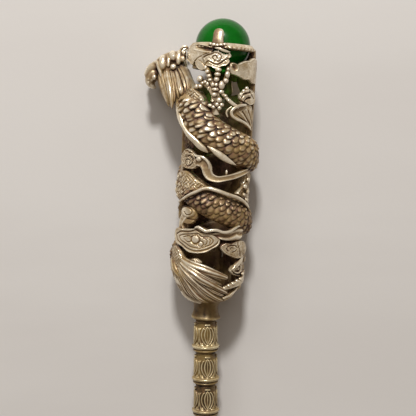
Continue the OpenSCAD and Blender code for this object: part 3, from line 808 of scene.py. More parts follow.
# Columns of a bead: turn, rise, reach, size, stretch across, stretch along
FOOT_BEADS = [
    [-26, 55.4, 7.8, 0.50, 0.9, 1.1], [-22, 54.6, 7.95, 0.56, 1.0, 0.9], [-19, 53.7, 8.0, 0.56, 1.0, 0.8],
    [-17, 52.9, 7.95, 0.52, 1.1, 0.8], [-5, 55.1, 7.95, 0.64, 1.1, 0.75], [-6, 54.15, 8.0, 0.64, 1.1, 0.75],
    [-7, 53.05, 8.0, 0.62, 1.0, 0.9], [-12, 51.9, 7.95, 0.58, 0.9, 1.0], [-7, 51.9, 7.95, 0.5, 0.9, 1.0],
    [10, 55.3, 7.7, 0.45, 0.9, 1.0], [9, 54.2, 7.9, 0.62, 0.9, 1.3], [7, 52.9, 7.95, 0.6, 1.0, 1.0],
    [1, 51.9, 7.9, 0.8, 0.85, 1.25], [-35, 53.0, 7.8, 0.74, 1.0, 1.0], [-31, 52.1, 7.6, 0.52, 1.0, 1.0],
    [-26, 52.4, 7.6, 0.5, 1.1, 0.9], [-21, 52.0, 7.7, 0.5, 0.9, 1.1], [-19, 51.1, 7.6, 0.45, 0.9, 1.2],
    [-8, 50.95, 8.0, 0.85, 1.0, 0.5], [1, 50.5, 7.8, 0.62, 1.1, 0.8], [-9, 49.85, 8.0, 0.62, 1.1, 0.9],
    [-1, 48.75, 8.1, 0.68, 1.0, 1.0], [-11, 48.5, 7.9, 0.42, 1.0, 1.0], [8, 49.7, 7.9, 0.45, 1.0, 0.9],
    [14, 48.8, 7.9, 0.45, 1.1, 0.8], [-14, 47.5, 8.3, 0.5, 1.2, 0.8], [-4, 47.8, 8.2, 0.5, 1.0, 1.0],
    [3, 47.8, 8.1, 0.5, 1.1, 0.9], [0, 47.1, 8.1, 0.48, 1.0, 1.0], [-9, 47.2, 8.3, 0.42, 1.1, 0.9],
    [-36, 51.3, 8.7, 0.5, 1.0, 1.1], [-32, 51.4, 8.3, 0.55, 1.1, 0.9],
]
# Bars that the beads sit on. Columns: turn, rise, reach, half width, half thickness
FOOT_BARS = [
    [[-26, 55.8, 7.3, 0.5, 0.5], [-19, 53.4, 7.5, 0.5, 0.5], [-11, 51.4, 7.5, 0.6, 0.5],
     [-9, 49.4, 7.4, 0.7, 0.5]],
    [[-5, 55.8, 7.3, 0.5, 0.5], [-7, 53.2, 7.5, 0.55, 0.5], [-8, 50.6, 7.5, 0.8, 0.5],
     [-8, 47.6, 7.4, 0.8, 0.5], [-6, 45.6, 7.2, 0.9, 0.6]],
    [[11, 55.8, 7.2, 0.45, 0.5], [8, 53.4, 7.4, 0.5, 0.5], [0, 51.2, 7.4, 0.5, 0.5],
     [-6, 49.2, 7.4, 0.6, 0.5]],
    [[-42, 53.3, 6.9, 0.5, 0.5], [-32, 52.2, 7.1, 0.5, 0.5], [-20, 51.4, 7.3, 0.5, 0.5],
     [-10, 49.8, 7.4, 0.6, 0.5]],
    [[-6, 51.2, 7.4, 0.5, 0.4], [4, 50.0, 7.6, 0.4, 0.4], [14, 48.8, 7.8, 0.4, 0.45],
     [22, 48.0, 7.9, 0.42, 0.45], [30, 47.4, 8.0, 0.45, 0.45]],
]


def foot():
    """Four toes and a wrist of beads on bars."""
    cast("clawed_foot", [band(rows, groove=0.0) for rows in FOOT_BARS] + [cage_bead(*q) for q in FOOT_BEADS])


# Clouds

# Ribbons that show, each with the depth of its hollow. Columns: turn, rise, reach, half width, half
# thickness, and a tone where a ribbon is dull in places
SCROLLS = [
    (0.5, [[-31, 35.2, 8.1, 0.7, 0.6], [-25, 35.4, 8.3, 0.95, 0.6], [-18, 35.3, 8.4, 1.1, 0.62],
           [-13, 34.4, 8.4, 1.15, 0.62], [-11, 33.3, 8.35, 1.05, 0.6], [-6, 32.4, 8.3, 0.9, 0.6],
           [4, 32.0, 8.3, 0.68, 0.58], [16, 32.3, 8.2, 0.6, 0.58], [28, 32.7, 8.1, 0.58, 0.58],
           [40, 33.2, 8.0, 0.56, 0.58], [52, 33.7, 7.9, 0.54, 0.58], [64, 34.1, 7.7, 0.5, 0.55],
           [78, 34.8, 7.4, 0.45, 0.5]]),
    (0.0, [[-33, 36.8, 8.3, 0.2, 0.4], [-26, 36.6, 8.8, 0.26, 0.4], [-19, 36.5, 8.9, 0.28, 0.4],
           [-13, 35.9, 8.8, 0.28, 0.4], [-9, 34.9, 8.7, 0.25, 0.4], [-9, 34.0, 8.5, 0.15, 0.3]]),
    (0.3, [[-56, 36.0, 7.2, 1.0, 0.8], [-70, 34.4, 7.1, 0.9, 0.8], [-76, 31.6, 7.0, 0.9, 0.8]]),
    (0.0, [[-24, 21.3, 8.5, 0.15, 0.3], [-19, 21.5, 8.8, 0.28, 0.4], [-14, 21.2, 8.9, 0.33, 0.4],
           [-8, 20.8, 8.9, 0.33, 0.4], [-1, 21.0, 8.9, 0.32, 0.4], [7, 21.1, 8.8, 0.3, 0.4],
           [17, 20.7, 8.7, 0.3, 0.4], [27, 20.9, 8.6, 0.3, 0.38], [36, 21.6, 8.5, 0.28, 0.35],
           [43, 22.0, 8.4, 0.2, 0.3], [50, 21.8, 8.2, 0.1, 0.2]]),
    (0.3, [[-56, 18.6, 7.0, 0.9, 0.7], [-65, 17.2, 7.0, 0.9, 0.7], [-74, 15.6, 7.0, 0.9, 0.7]]),
    (0.3, [[-50, 23.8, 7.2, 1.0, 0.8], [-64, 21.4, 7.0, 0.9, 0.8], [-56, 19.0, 7.0, 0.8, 0.8]]),
    (0.0, [[68, 17.4, 7.3, 0.9, 0.7, 0.5], [74, 16.8, 6.8, 0.55, 0.6, 0.3], [80, 16.0, 7.3, 0.9, 0.7, 0.5],
           [84, 15.1, 6.8, 0.55, 0.6, 0.3], [85, 14.2, 7.4, 0.9, 0.7, 0.5], [87, 13.2, 6.7, 0.5, 0.6, 0.3],
           [85, 12.2, 7.2, 0.9, 0.7, 0.5], [84, 11.2, 6.6, 0.5, 0.6, 0.3], [82, 10.2, 7.2, 0.9, 0.7, 0.5],
           [76, 9.2, 6.7, 0.55, 0.6, 0.3], [70, 8.4, 7.1, 0.8, 0.6, 0.5], [60, 7.4, 6.5, 0.5, 0.5, 0.3],
           [48, 6.6, 6.6, 0.7, 0.5, 0.5], [34, 5.6, 6.2, 0.5, 0.5, 0.5]]),
    (0.2, [[68, 15.2, 7.6, 0.5, 0.5], [57, 14.1, 7.8, 0.5, 0.5], [47, 13.1, 7.8, 0.45, 0.5],
           [40, 12.2, 7.7, 0.3, 0.4]]),
    (0.15, [[86, 11.0, 7.5, 0.8, 0.6], [74, 10.0, 7.6, 0.8, 0.6], [62, 9.4, 7.7, 0.7, 0.6],
            [50, 9.0, 7.6, 0.6, 0.6], [39, 8.6, 7.4, 0.5, 0.5], [29, 8.2, 7.2, 0.35, 0.4]]),
    (0.0, [[60, 8.0, 7.2, 0.3, 0.4], [52, 7.2, 7.1, 0.3, 0.4], [43, 6.4, 6.9, 0.28, 0.35],
           [33, 6.0, 6.6, 0.2, 0.3]]),
    (0.0, [[44, 48.1, 8.0, 0.25, 0.35], [36, 48.0, 8.1, 0.28, 0.4], [28, 47.7, 8.2, 0.3, 0.4],
           [21, 47.1, 8.2, 0.3, 0.4], [18, 46.4, 8.2, 0.3, 0.4], [20, 45.6, 8.2, 0.3, 0.4],
           [27, 45.0, 8.2, 0.3, 0.4], [36, 44.6, 8.2, 0.3, 0.4], [47, 44.0, 8.1, 0.3, 0.4],
           [58, 43.2, 8.0, 0.25, 0.35], [66, 42.7, 7.8, 0.1, 0.2]]),
    (0.0, [[19, 47.5, 7.8, 0.16, 0.3], [13, 46.8, 7.8, 0.2, 0.3], [11.5, 46.1, 7.8, 0.2, 0.3],
           [14, 45.3, 7.8, 0.14, 0.25]]),
    (0.2, [[80, 60.0, 6.8, 0.7, 0.6, 0.4], [82, 55.0, 7.1, 0.8, 0.6, 0.6], [80, 50.0, 7.2, 0.5, 0.6, 0.35],
           [82, 45.0, 7.2, 0.8, 0.6, 0.6], [82, 39.6, 7.2, 0.6, 0.6, 0.4]]),
    (0.0, [[-12, 59.6, 7.9, 0.1, 0.3], [-6, 59.5, 8.0, 0.25, 0.35], [0, 59.2, 8.0, 0.3, 0.35],
           [6, 59.0, 7.9, 0.25, 0.3], [11, 58.9, 7.8, 0.08, 0.2]]),
]
# Small curls and knobs. Columns: turn, rise, reach, size, stretch across, stretch along
CURL_KNOBS = [
    [-24, 36.1, 8.7, 0.7, 1.0, 0.9], [18, 33.4, 7.8, 0.32, 0.7, 2.2], [61, 10.0, 8.0, 0.5, 1.0, 0.9],
    [52, 9.7, 7.9, 0.45, 1.0, 0.9], [44, 9.2, 7.8, 0.45, 1.0, 0.9], [36, 8.8, 7.6, 0.42, 1.0, 0.9],
    [70, 11.0, 7.9, 0.5, 1.0, 0.9], [29, 8.2, 7.3, 0.38, 1.0, 1.0], [33, 5.9, 6.7, 0.35, 1.2, 0.8],
    [62, 32.0, 8.2, 0.5, 1.0, 1.0], [52, 30.6, 8.4, 0.5, 1.0, 1.0], [60, 29.4, 8.4, 0.5, 1.0, 1.0],
    [50, 28.8, 8.5, 0.4, 1.0, 1.0], [58, 27.6, 8.4, 0.45, 1.0, 1.0], [34, 50.2, 7.9, 0.4, 1.0, 1.0],
    [39, 51.0, 7.9, 0.42, 1.0, 1.0], [46, 51.6, 7.8, 0.45, 1.0, 1.0],
]
# Ribbons of the plain side. Columns: turn, rise, reach, half width, half thickness
SCROLLS_BELOW = [
    [[112, 59.8, 6.6, 0.9, 0.8], [120, 54.0, 7.0, 1.2, 0.8], [106, 48.0, 7.1, 1.3, 0.8],
     [118, 42.0, 7.1, 1.2, 0.8], [116, 38.0, 7.1, 1.0, 0.8]],
    [[206, 59.8, 6.6, 0.9, 0.8], [197, 55.6, 7.0, 0.9, 0.8], [205, 51.4, 7.0, 1.0, 0.8],
     [236, 48.6, 7.1, 1.2, 0.8], [250, 46.0, 7.1, 1.1, 0.8], [258, 41.0, 7.1, 1.2, 0.8],
     [252, 33.6, 7.0, 1.0, 0.8]],
    [[112, 47.4, 7.0, 1.2, 0.8], [146, 45.4, 7.1, 1.3, 0.8], [186, 47.4, 7.1, 1.3, 0.8],
     [220, 45.6, 7.1, 1.3, 0.8], [250, 45.4, 7.0, 1.2, 0.8]],
    [[126, 33.6, 7.0, 1.0, 0.8], [136, 28.0, 7.0, 1.4, 0.8], [128, 23.0, 7.0, 1.0, 0.8]],
    [[232, 31.4, 7.0, 1.0, 0.8], [216, 26.0, 7.0, 1.4, 0.8], [226, 19.6, 7.0, 1.0, 0.8]],
    [[132, 18.8, 7.0, 1.0, 0.8], [142, 12.6, 7.0, 1.4, 0.8], [132, 7.6, 6.4, 1.2, 0.8],
     [144, 5.4, 5.4, 0.8, 0.8]],
    [[238, 15.2, 7.0, 1.2, 0.8], [228, 10.6, 6.9, 1.4, 0.8], [240, 7.0, 6.2, 1.2, 0.8],
     [228, 5.2, 5.2, 0.8, 0.8]],
]
# Outlines of the cloud heads that show. Columns: turn, rise
LARGE_CLOUD = [
    [-72, 19.0], [-70, 20.1], [-64, 20.6], [-54, 20.5], [-45, 20.7], [-30, 20.9], [-22, 21.3], [-17, 21.1],
    [-12, 20.4], [-3, 20.3], [6, 19.9], [13, 19.2], [14, 18.3], [11, 17.6], [3, 16.9], [-5, 16.1],
    [-17, 15.7], [-30, 15.6], [-38, 15.9], [-47, 16.6], [-56, 17.0], [-64, 17.3], [-70, 18.0],
]
SQUARE_CLOUD = [
    [15, 17.5], [24, 18.3], [34, 18.1], [42, 18.5], [55, 18.7], [70, 18.1], [80, 16.4], [66, 15.2],
    [51, 14.7], [33, 15.4], [21, 16.2],
]
SCROLL_CLOUD = [
    [-58, 37.2], [-50, 38.0], [-41, 37.8], [-33, 36.9], [-29, 35.3], [-31, 34.0], [-45, 33.7], [-56, 34.2],
    [-63, 35.8],
]
RING_CLOUD = [
    [-34, 57.9], [-29, 58.2], [-17, 58.7], [-9, 59.1], [0, 58.6], [6, 58.4], [11, 58.7], [14, 58.1],
    [10, 57.5], [12, 57.0], [8, 56.2], [0, 55.8], [-9, 55.2], [-16, 55.6], [-26, 55.9], [-29, 56.9],
]
LEFT_PLATE = [
    [-100, 59.2], [-88, 59.4], [-67, 60.0], [-52, 60.4], [-30, 60.2], [-18, 59.6], [-20, 57.8], [-24, 56.4],
    [-26, 55.4], [-31, 54.8], [-38, 54.8], [-44, 55.3], [-48, 56.0], [-50, 57.0], [-55, 56.1], [-62, 56.0],
    [-72, 56.6], [-84, 57.2], [-96, 57.8],
]
RIGHT_PLATE = [
    [12, 56.5], [18, 56.8], [26, 56.5], [32, 56.9], [42, 57.4], [53, 57.6], [64, 58.2], [80, 58.0],
    [92, 56.0], [88, 53.1], [66, 52.8], [53, 53.5], [43, 53.4], [33, 53.8], [23, 54.2], [12, 54.7],
]
FLAME_CLOUD = [
    [27, 47.8], [21, 47.2], [18, 46.4], [20, 45.6], [27, 45.0], [36, 44.6], [47, 44.0], [58, 43.2],
    [67, 42.9], [72, 45.0], [66, 47.6], [53, 48.3], [39, 48.1],
]
HIGH_CURL = [
    [32, 49.6], [34, 50.5], [40, 51.0], [46, 51.5], [57, 51.4], [69, 50.6], [72, 48.9], [57, 48.1],
    [44, 48.6], [36, 48.9],
]
KNOB_CLOUD = [
    [-66, 23.6], [-61, 25.1], [-53, 25.6], [-41, 25.5], [-31, 25.4], [-26, 24.2], [-28, 23.0], [-37, 21.8],
    [-52, 21.7], [-63, 22.4],
]
CREST_PATCH = [
    [-48, 33.2], [-28, 31.6], [-14, 30.6], [-7, 30.0], [-16, 29.4], [-24, 28.8], [-40, 27.5], [-55, 26.7],
    [-76, 27.4], [-80, 30.0], [-68, 32.4],
]
RIBBON_CLOUD = [
    [-20, 21.5], [-14, 21.2], [-8, 20.8], [-1, 21.1], [7, 21.2], [17, 20.7], [27, 20.9], [36, 21.7],
    [44, 22.1], [54, 21.6], [58, 20.2], [50, 19.0], [38, 18.8], [29, 18.8], [20, 18.9], [14, 19.1],
    [8, 19.6], [2, 20.0], [-6, 20.1], [-13, 20.4],
]
BACKING = [
    [-84, 42.4], [-62, 43.4], [-47, 41.8], [-43, 39.6], [-47, 37.2], [-56, 36.8], [-64, 37.6], [-74, 38.2],
    [-68, 39.2], [-80, 39.8], [-74, 40.8],
]
STRUT_CLOUD = [
    [62, 34.2], [74, 34.2], [86, 32.0], [74, 30.8], [84, 29.6], [86, 26.6], [66, 26.6], [57, 27.6],
    [47, 28.4], [40, 28.9], [46, 29.7], [53, 30.4], [53, 31.2], [58, 32.2],
]
NECK_FLAP = [
    [-79, 47.9], [-65, 49.0], [-55, 49.8], [-47, 50.6], [-42, 51.0], [-37, 50.6], [-31, 50.0], [-24, 49.0],
    [-25, 48.0], [-45, 47.4], [-70, 47.2],
]
BITS_CLOUD = [
    [66, 14.8], [82, 14.0], [90, 11.5], [78, 9.8], [58, 10.6], [44, 11.2], [38, 12.1], [44, 13.0],
    [55, 13.5],
]
# Domes on the crest and on the large cloud: across, along, radius, height
CREST_CURLS = [
    (-3.9, 1.6, 0.6, 0.4), (-4.6, 0.2, 0.6, 0.45), (-4.9, -1.3, 0.6, 0.4), (-3.5, -2.3, 0.6, 0.35),
    (-2.6, 2.2, 0.5, 0.3), (-3.0, 0.0, 0.6, 0.3), (-1.6, -1.4, 0.5, 0.25),
]
LARGE_DOMES = [(-0.3, 0.25, 0.8, 0.3), (0.9, -0.6, 0.5, 0.18)]
# Lines on the cloud heads, raised above 0 and cut below. Columns: height, width, turns and rises
LARGE_LINES = [
    (-0.34, 0.13, [[-63, 19.2], [-50, 20.0], [-34, 20.2], [-24, 20.8], [-16, 20.4], [-7, 20.3], [5, 19.9],
                   [11, 19.1], [9, 18.2], [1, 17.3], [-9, 16.6], [-22, 16.2], [-35, 16.5], [-47, 17.3],
                   [-58, 17.9], [-63, 18.9]]),
    (-0.3, 0.12, [[-54, 19.0], [-42, 19.5], [-29, 19.8], [-20, 20.0], [-13, 19.4], [-4, 19.5], [3, 18.9],
                  [1, 18.0], [-7, 17.4], [-17, 16.9], [-30, 17.0], [-42, 17.7], [-51, 18.2], [-54, 18.8]]),
    (-0.26, 0.11, [[-44, 18.9], [-34, 19.3], [-29, 18.9], [-31, 18.2], [-37, 18.0], [-43, 18.5]]),
    (-0.28, 0.1, [[-11, 19.2], [-6, 18.8], [-6, 18.1], [-9, 17.6]]),
    (-0.22, 0.1, [[-30, 19.2], [-32, 18.6], [-28, 17.9], [-20, 17.5]]),
    (-0.22, 0.1, [[-6, 19.3], [-1, 18.8], [-2, 18.0]]),
]
SQUARE_LINES = [
    (-0.4, 0.11, [[29, 16.5], [26, 17.0], [30, 17.6], [39, 17.7], [45, 17.3], [44, 16.6], [36, 16.2]]),
    (-0.3, 0.1, [[32, 16.8], [34, 17.2], [38, 17.1]]),
    (-0.4, 0.12, [[49, 18.9], [47, 17.9], [52, 16.7], [55, 15.3]]),
]
SCROLL_LINES = [
    (-0.4, 0.11, [[-50, 36.3], [-41, 36.5], [-36, 35.9], [-37, 35.0], [-44, 34.3], [-50, 34.7], [-50, 35.4],
                  [-45, 35.8], [-41, 35.5], [-42, 35.0]]),
    (0.2, 0.12, [[-51, 36.8], [-41, 37.0], [-33, 36.3], [-32, 34.9]]),
    (-0.3, 0.1, [[-48, 37.5], [-43, 37.2], [-37, 37.4]]),
]
RING_LINES = [
    (-0.36, 0.11, [[-26, 56.2], [-21, 56.8], [-13, 56.3], [-6, 56.2], [2, 57.0], [8, 57.5]]),
    (0.16, 0.1, [[-27, 56.6], [-22, 57.1], [-14, 56.7], [-7, 56.5], [0, 57.2], [7, 58.0]]),
    (-0.3, 0.1, [[-20, 58.1], [-12, 58.6], [-4, 58.3], [-2, 57.7], [-5, 56.9], [-12, 56.9]]),
    (-0.34, 0.1, [[-8, 57.5], [-10, 58.0], [-14, 57.9], [-15, 57.4], [-11, 57.2]]),
    (-0.36, 0.12, [[-32, 57.4], [-27, 57.8], [-21, 58.2]]),
    (0.25, 0.14, [[5, 58.7], [11, 58.5], [10, 57.8]]),
]
LEFT_LINES = [
    (-0.3, 0.13, [[-50, 56.8], [-44, 57.4], [-35, 57.9], [-26, 58.3]]),
    (-0.2, 0.13, [[-42, 57.0], [-35, 56.6], [-29, 55.9]]),
    (-1.2, 0.4, [[-46, 60.0], [-34, 59.6], [-25, 59.4], [-15, 59.4]]),
    (0.22, 0.14, [[-54, 59.2], [-34, 58.8], [-21, 58.8]]),
    (0.2, 0.7, [[-80, 58.6], [-68, 58.2], [-58, 57.6]]),
]
RIGHT_LINES = [
    (-0.7, 0.42, [[20, 55.9], [22, 55.6]]),
    (0.25, 0.13, [[17, 56.6], [23, 56.5], [27, 55.9], [26, 55.2]]),
    (0.3, 0.14, [[14, 55.1], [14, 56.2]]),
]
FLAME_LINES = [
    (-0.45, 0.15, [[40, 46.7], [48, 45.6], [62, 43.8]]),
    (-0.4, 0.14, [[53, 47.0], [62, 45.4], [69, 44.3]]),
    (-0.3, 0.13, [[28, 45.8], [36, 45.3], [48, 44.4]]),
    (0.22, 0.2, [[33, 46.6], [44, 45.3], [58, 43.7]]),
    (0.2, 0.2, [[46, 47.2], [56, 45.6], [66, 44.1]]),
    (0.25, 0.16, [[24, 47.2], [21, 46.4], [24, 45.5], [34, 44.9]]),
]
CURL_LINES = [
    (0.25, 0.15, [[33, 49.9], [35, 50.5], [41, 50.9], [49, 51.2]]),
    (-0.42, 0.13, [[35, 49.6], [38, 50.3], [45, 50.6], [54, 50.9]]),
    (0.25, 0.15, [[36, 49.4], [41, 50.1], [50, 50.3], [60, 50.6]]),
    (-0.6, 0.2, [[42, 48.9], [46, 49.5], [54, 49.7]]),
    (-0.35, 0.12, [[50, 51.2], [58, 50.2], [66, 49.6]]),
]
BITS_LINES = [
    (-0.55, 0.15, [[47, 12.4], [54, 13.0], [63, 12.6], [60, 11.8], [52, 11.9]]),
    (-0.4, 0.12, [[44, 11.6], [54, 11.1], [66, 10.9]]),
    (0.3, 0.14, [[42, 12.2], [48, 11.6], [58, 11.4], [66, 11.7]]),
]
NECK_LINES = [
    (-0.12, 0.13, [[-44, 50.5], [-50, 49.4], [-60, 48.3]]),
    (-0.12, 0.13, [[-40, 50.3], [-42, 49.2], [-46, 47.9]]),
    (-0.12, 0.13, [[-34, 49.9], [-33, 48.9], [-35, 47.9]]),
    (-0.1, 0.12, [[-52, 49.8], [-58, 48.9], [-68, 48.0]]),
]
BACK_REACH = 7.2
BACK_DEPTH = 0.75
# Plates of the plain side. Columns: turn, rise, half width, half height
BACK_CLOUDS = [
    [118, 53.6, 3.1, 4.4], [181, 52.4, 3.2, 3.6], [151, 55.8, 2.8, 2.4], [149, 48.2, 2.8, 2.2],
    [208, 49.4, 2.6, 3.0], [246, 49.4, 3.2, 2.5], [130, 43.6, 3.8, 3.6], [164, 44.4, 2.6, 2.6],
    [196, 41.6, 4.5, 4.0], [244, 42.4, 3.6, 3.4], [206, 37.4, 3.6, 2.4], [112, 26.4, 3.4, 3.0],
    [160, 27.4, 4.6, 4.4], [210, 27.0, 4.6, 4.2], [252, 24.6, 3.2, 3.0], [172, 18.6, 4.5, 3.8],
    [200, 20.4, 4.0, 3.6], [128, 11.4, 3.9, 3.6], [157, 8.4, 3.4, 3.0], [186, 12.0, 4.2, 3.9],
    [240, 11.0, 3.9, 3.4],
]


def back_cloud(turn, rise, half_w, half_h, twist):
    """A five-lobed plate of the plain side: its outline is an ellipse whose size is 1 + 0.1 cos(5 f + p)."""
    f = np.radians(np.arange(0, 360, 15))
    size = 1 + 0.1 * np.cos(5 * f + twist)
    edge_turn = turn + np.degrees(half_w * size * np.cos(f) / BACK_REACH)
    outline = np.stack([edge_turn, rise + half_h * size * np.sin(f)], -1)
    look = carved(grooves=(0.84, 0.62), domes=[(0.3 * twist - 0.5, 0.1, 0.5, 0.3)])
    return cloud((turn, rise), BACK_REACH, BACK_DEPTH, outline, look, rings=22, steps=2)


def left_dull(shape):
    """A shape of the plain side with its tone at 0.75, and at 0.25 where it shows at the left."""
    verts, quads, caps, relief = shape
    left = -verts[:, 0] / np.hypot(verts[:, 0], verts[:, 2])
    return verts, quads, caps, relief * (0.75 - 0.5 * eased(left, 0.78, 0.88))


def folds(slope, count):
    """A top of soft ridges: bells of a sine that runs across and climbs by slope."""
    def pattern(x, y, s):
        wave = np.sin(count * (y + slope * x) + 0.6 * np.sin(1.7 * x))
        return 0.62 + 0.3 * np.abs(wave) ** 0.8 * np.sign(wave) * (1 - 0.4 * s) + 0.12 * (1 - s ** 2)
    return pattern


def knob_top(x, y, s):
    """A low boss with a flat crown, ringed by a curled groove, over a lip."""
    across, along = x - 0.3, y - 0.5
    away = np.hypot(across / 2.2, along / 1.3)
    boss = np.minimum(np.sqrt(np.clip(1 - away ** 2, 0, 1)), 0.8)
    curl = np.exp(-((away - 0.62 - 0.1 * np.arctan2(along, across)) / 0.07) ** 2)
    crease = np.exp(-((y + 0.95 + 0.1 * x) / 0.12) ** 2)
    return 0.4 + 0.48 * boss - 0.22 * curl - 0.3 * crease


# Cloud heads that show. Columns: turn and rise of the eye, reach, depth, outline, top, lines, rings, steps
CLOUDS = [
    ((-21, 18.5), 8.2, 0.95, LARGE_CLOUD, carved(domes=LARGE_DOMES), LARGE_LINES, 48, 8),
    ((44, 16.7), 7.9, 0.8, SQUARE_CLOUD, carved(ground=0.72, grain=0.12, rough=0.05), SQUARE_LINES, 44, 8),
    ((-44, 35.6), 8.3, 0.9, SCROLL_CLOUD, carved(ground=0.68, grain=0.16, rough=0.06), SCROLL_LINES, 44, 8),
    ((-11, 57.4), 7.8, 0.8, RING_CLOUD, carved(ground=0.82, grain=0.03, rim=0.1, rough=0.03), RING_LINES,
     48, 8),
    ((-42, 58.2), 7.35, 0.7, LEFT_PLATE, carved(ground=0.84, grain=0.04, rough=0.03), LEFT_LINES, 48, 8),
    ((47, 55.6), 7.5, 0.6, RIGHT_PLATE, carved(ground=0.76, grain=0.05, rough=0.04), RIGHT_LINES, 40, 8),
    ((42, 46.2), 7.7, 0.8, FLAME_CLOUD, carved(ground=0.62, grain=0.05), FLAME_LINES, 44, 8),
    ((50, 49.9), 7.8, 0.8, HIGH_CURL, carved(ground=0.82, grain=0.06), CURL_LINES, 40, 8),
    ((-46, 23.9), 7.8, 1.3, KNOB_CLOUD, knob_top, (), 40, 8),
    ((62, 12.4), 7.5, 0.8, BITS_CLOUD, carved(ground=0.62, grain=0.2), BITS_LINES, 40, 8),
    ((66, 30.6), 7.6, 0.9, STRUT_CLOUD, carved(ground=0.7, grain=0.2, rough=0.05)),
    ((-42, 30.0), 8.45, 0.7, CREST_PATCH, carved((), CREST_CURLS, ground=0.58, grain=0.34, rim=0.0), (),
     48, 8),
    ((-46, 48.8), 9.0, 1.1, NECK_FLAP, carved(ground=0.74, grain=0.2, rim=0.0, rough=0.06), NECK_LINES),
    ((20, 20.2), 8.2, 0.8, RIBBON_CLOUD, folds(-0.12, 4.2)),
    ((-62, 40.0), 7.5, 0.6, BACKING, carved(ground=0.1, grain=0.4, rim=0.0, rough=0.06)),
]


def cloud_heads():
    """Cloud heads with carved tops: those that show, and the plates and ribbons of the plain side."""
    cast("clouds_shown", [cloud(*row) for row in CLOUDS])
    behind = [back_cloud(*row, 0.7 * k) for k, row in enumerate(BACK_CLOUDS)]
    behind += [band(rows) for rows in SCROLLS_BELOW]
    cast("clouds_below", [left_dull(shape) for shape in behind])


def cloud_scrolls():
    """The ribbons that wind between the cloud heads, with their knobs."""
    ribbons = [band(rows, groove, boxy=0.55, sides=26, wide=0.72) for groove, rows in SCROLLS]
    cast("cloud_scrolls", ribbons + [cage_bead(*q) for q in CURL_KNOBS])


# Edges of the body. Columns: turn, rise, reach, half width, half thickness
BODY_EDGES = [
    [[-76, 49.6, 9.1, 0.3, 0.45], [-70, 48.4, 9.5, 0.5, 0.5], [-63, 46.7, 9.85, 0.68, 0.55],
     [-57, 44.9, 9.95, 0.72, 0.55], [-51, 43.3, 9.9, 0.6, 0.5], [-46, 42.4, 9.85, 0.48, 0.5],
     [-39, 41.1, 9.75, 0.62, 0.5], [-30, 39.9, 9.5, 0.68, 0.5], [-23, 38.9, 9.3, 0.7, 0.48],
     [-17, 38.2, 9.0, 0.58, 0.42], [-12, 37.6, 8.7, 0.15, 0.2]],
    [[-13, 38.9, 8.7, 0.2, 0.35], [-6, 38.3, 8.95, 0.45, 0.42], [1, 37.6, 9.0, 0.66, 0.42],
     [9, 36.8, 9.0, 0.7, 0.4], [17, 36.1, 8.9, 0.52, 0.36], [24, 35.6, 8.8, 0.3, 0.3],
     [30, 35.2, 8.7, 0.05, 0.1]],
    [[-62, 26.2, 8.3, 0.15, 0.3], [-50, 26.9, 8.8, 0.25, 0.4], [-39, 27.8, 9.1, 0.32, 0.5],
     [-31, 28.5, 9.2, 0.34, 0.5], [-22, 29.2, 9.25, 0.36, 0.5], [-15, 29.8, 9.25, 0.4, 0.5],
     [-7, 30.0, 9.25, 0.44, 0.5], [0, 29.8, 9.25, 0.44, 0.5], [7, 29.5, 9.25, 0.42, 0.5],
     [17, 29.0, 9.2, 0.42, 0.5], [34, 28.2, 9.1, 0.42, 0.5], [47, 27.3, 8.9, 0.4, 0.5],
     [62, 26.0, 8.6, 0.3, 0.4]],
]


def body_edges():
    """The smooth belly plates and the fin below the first coil, and the rim above the second."""
    cast("body_edges", [band(rows, groove=0.0, boxy=0.9, step=0.12, sides=26) for rows in BODY_EDGES])


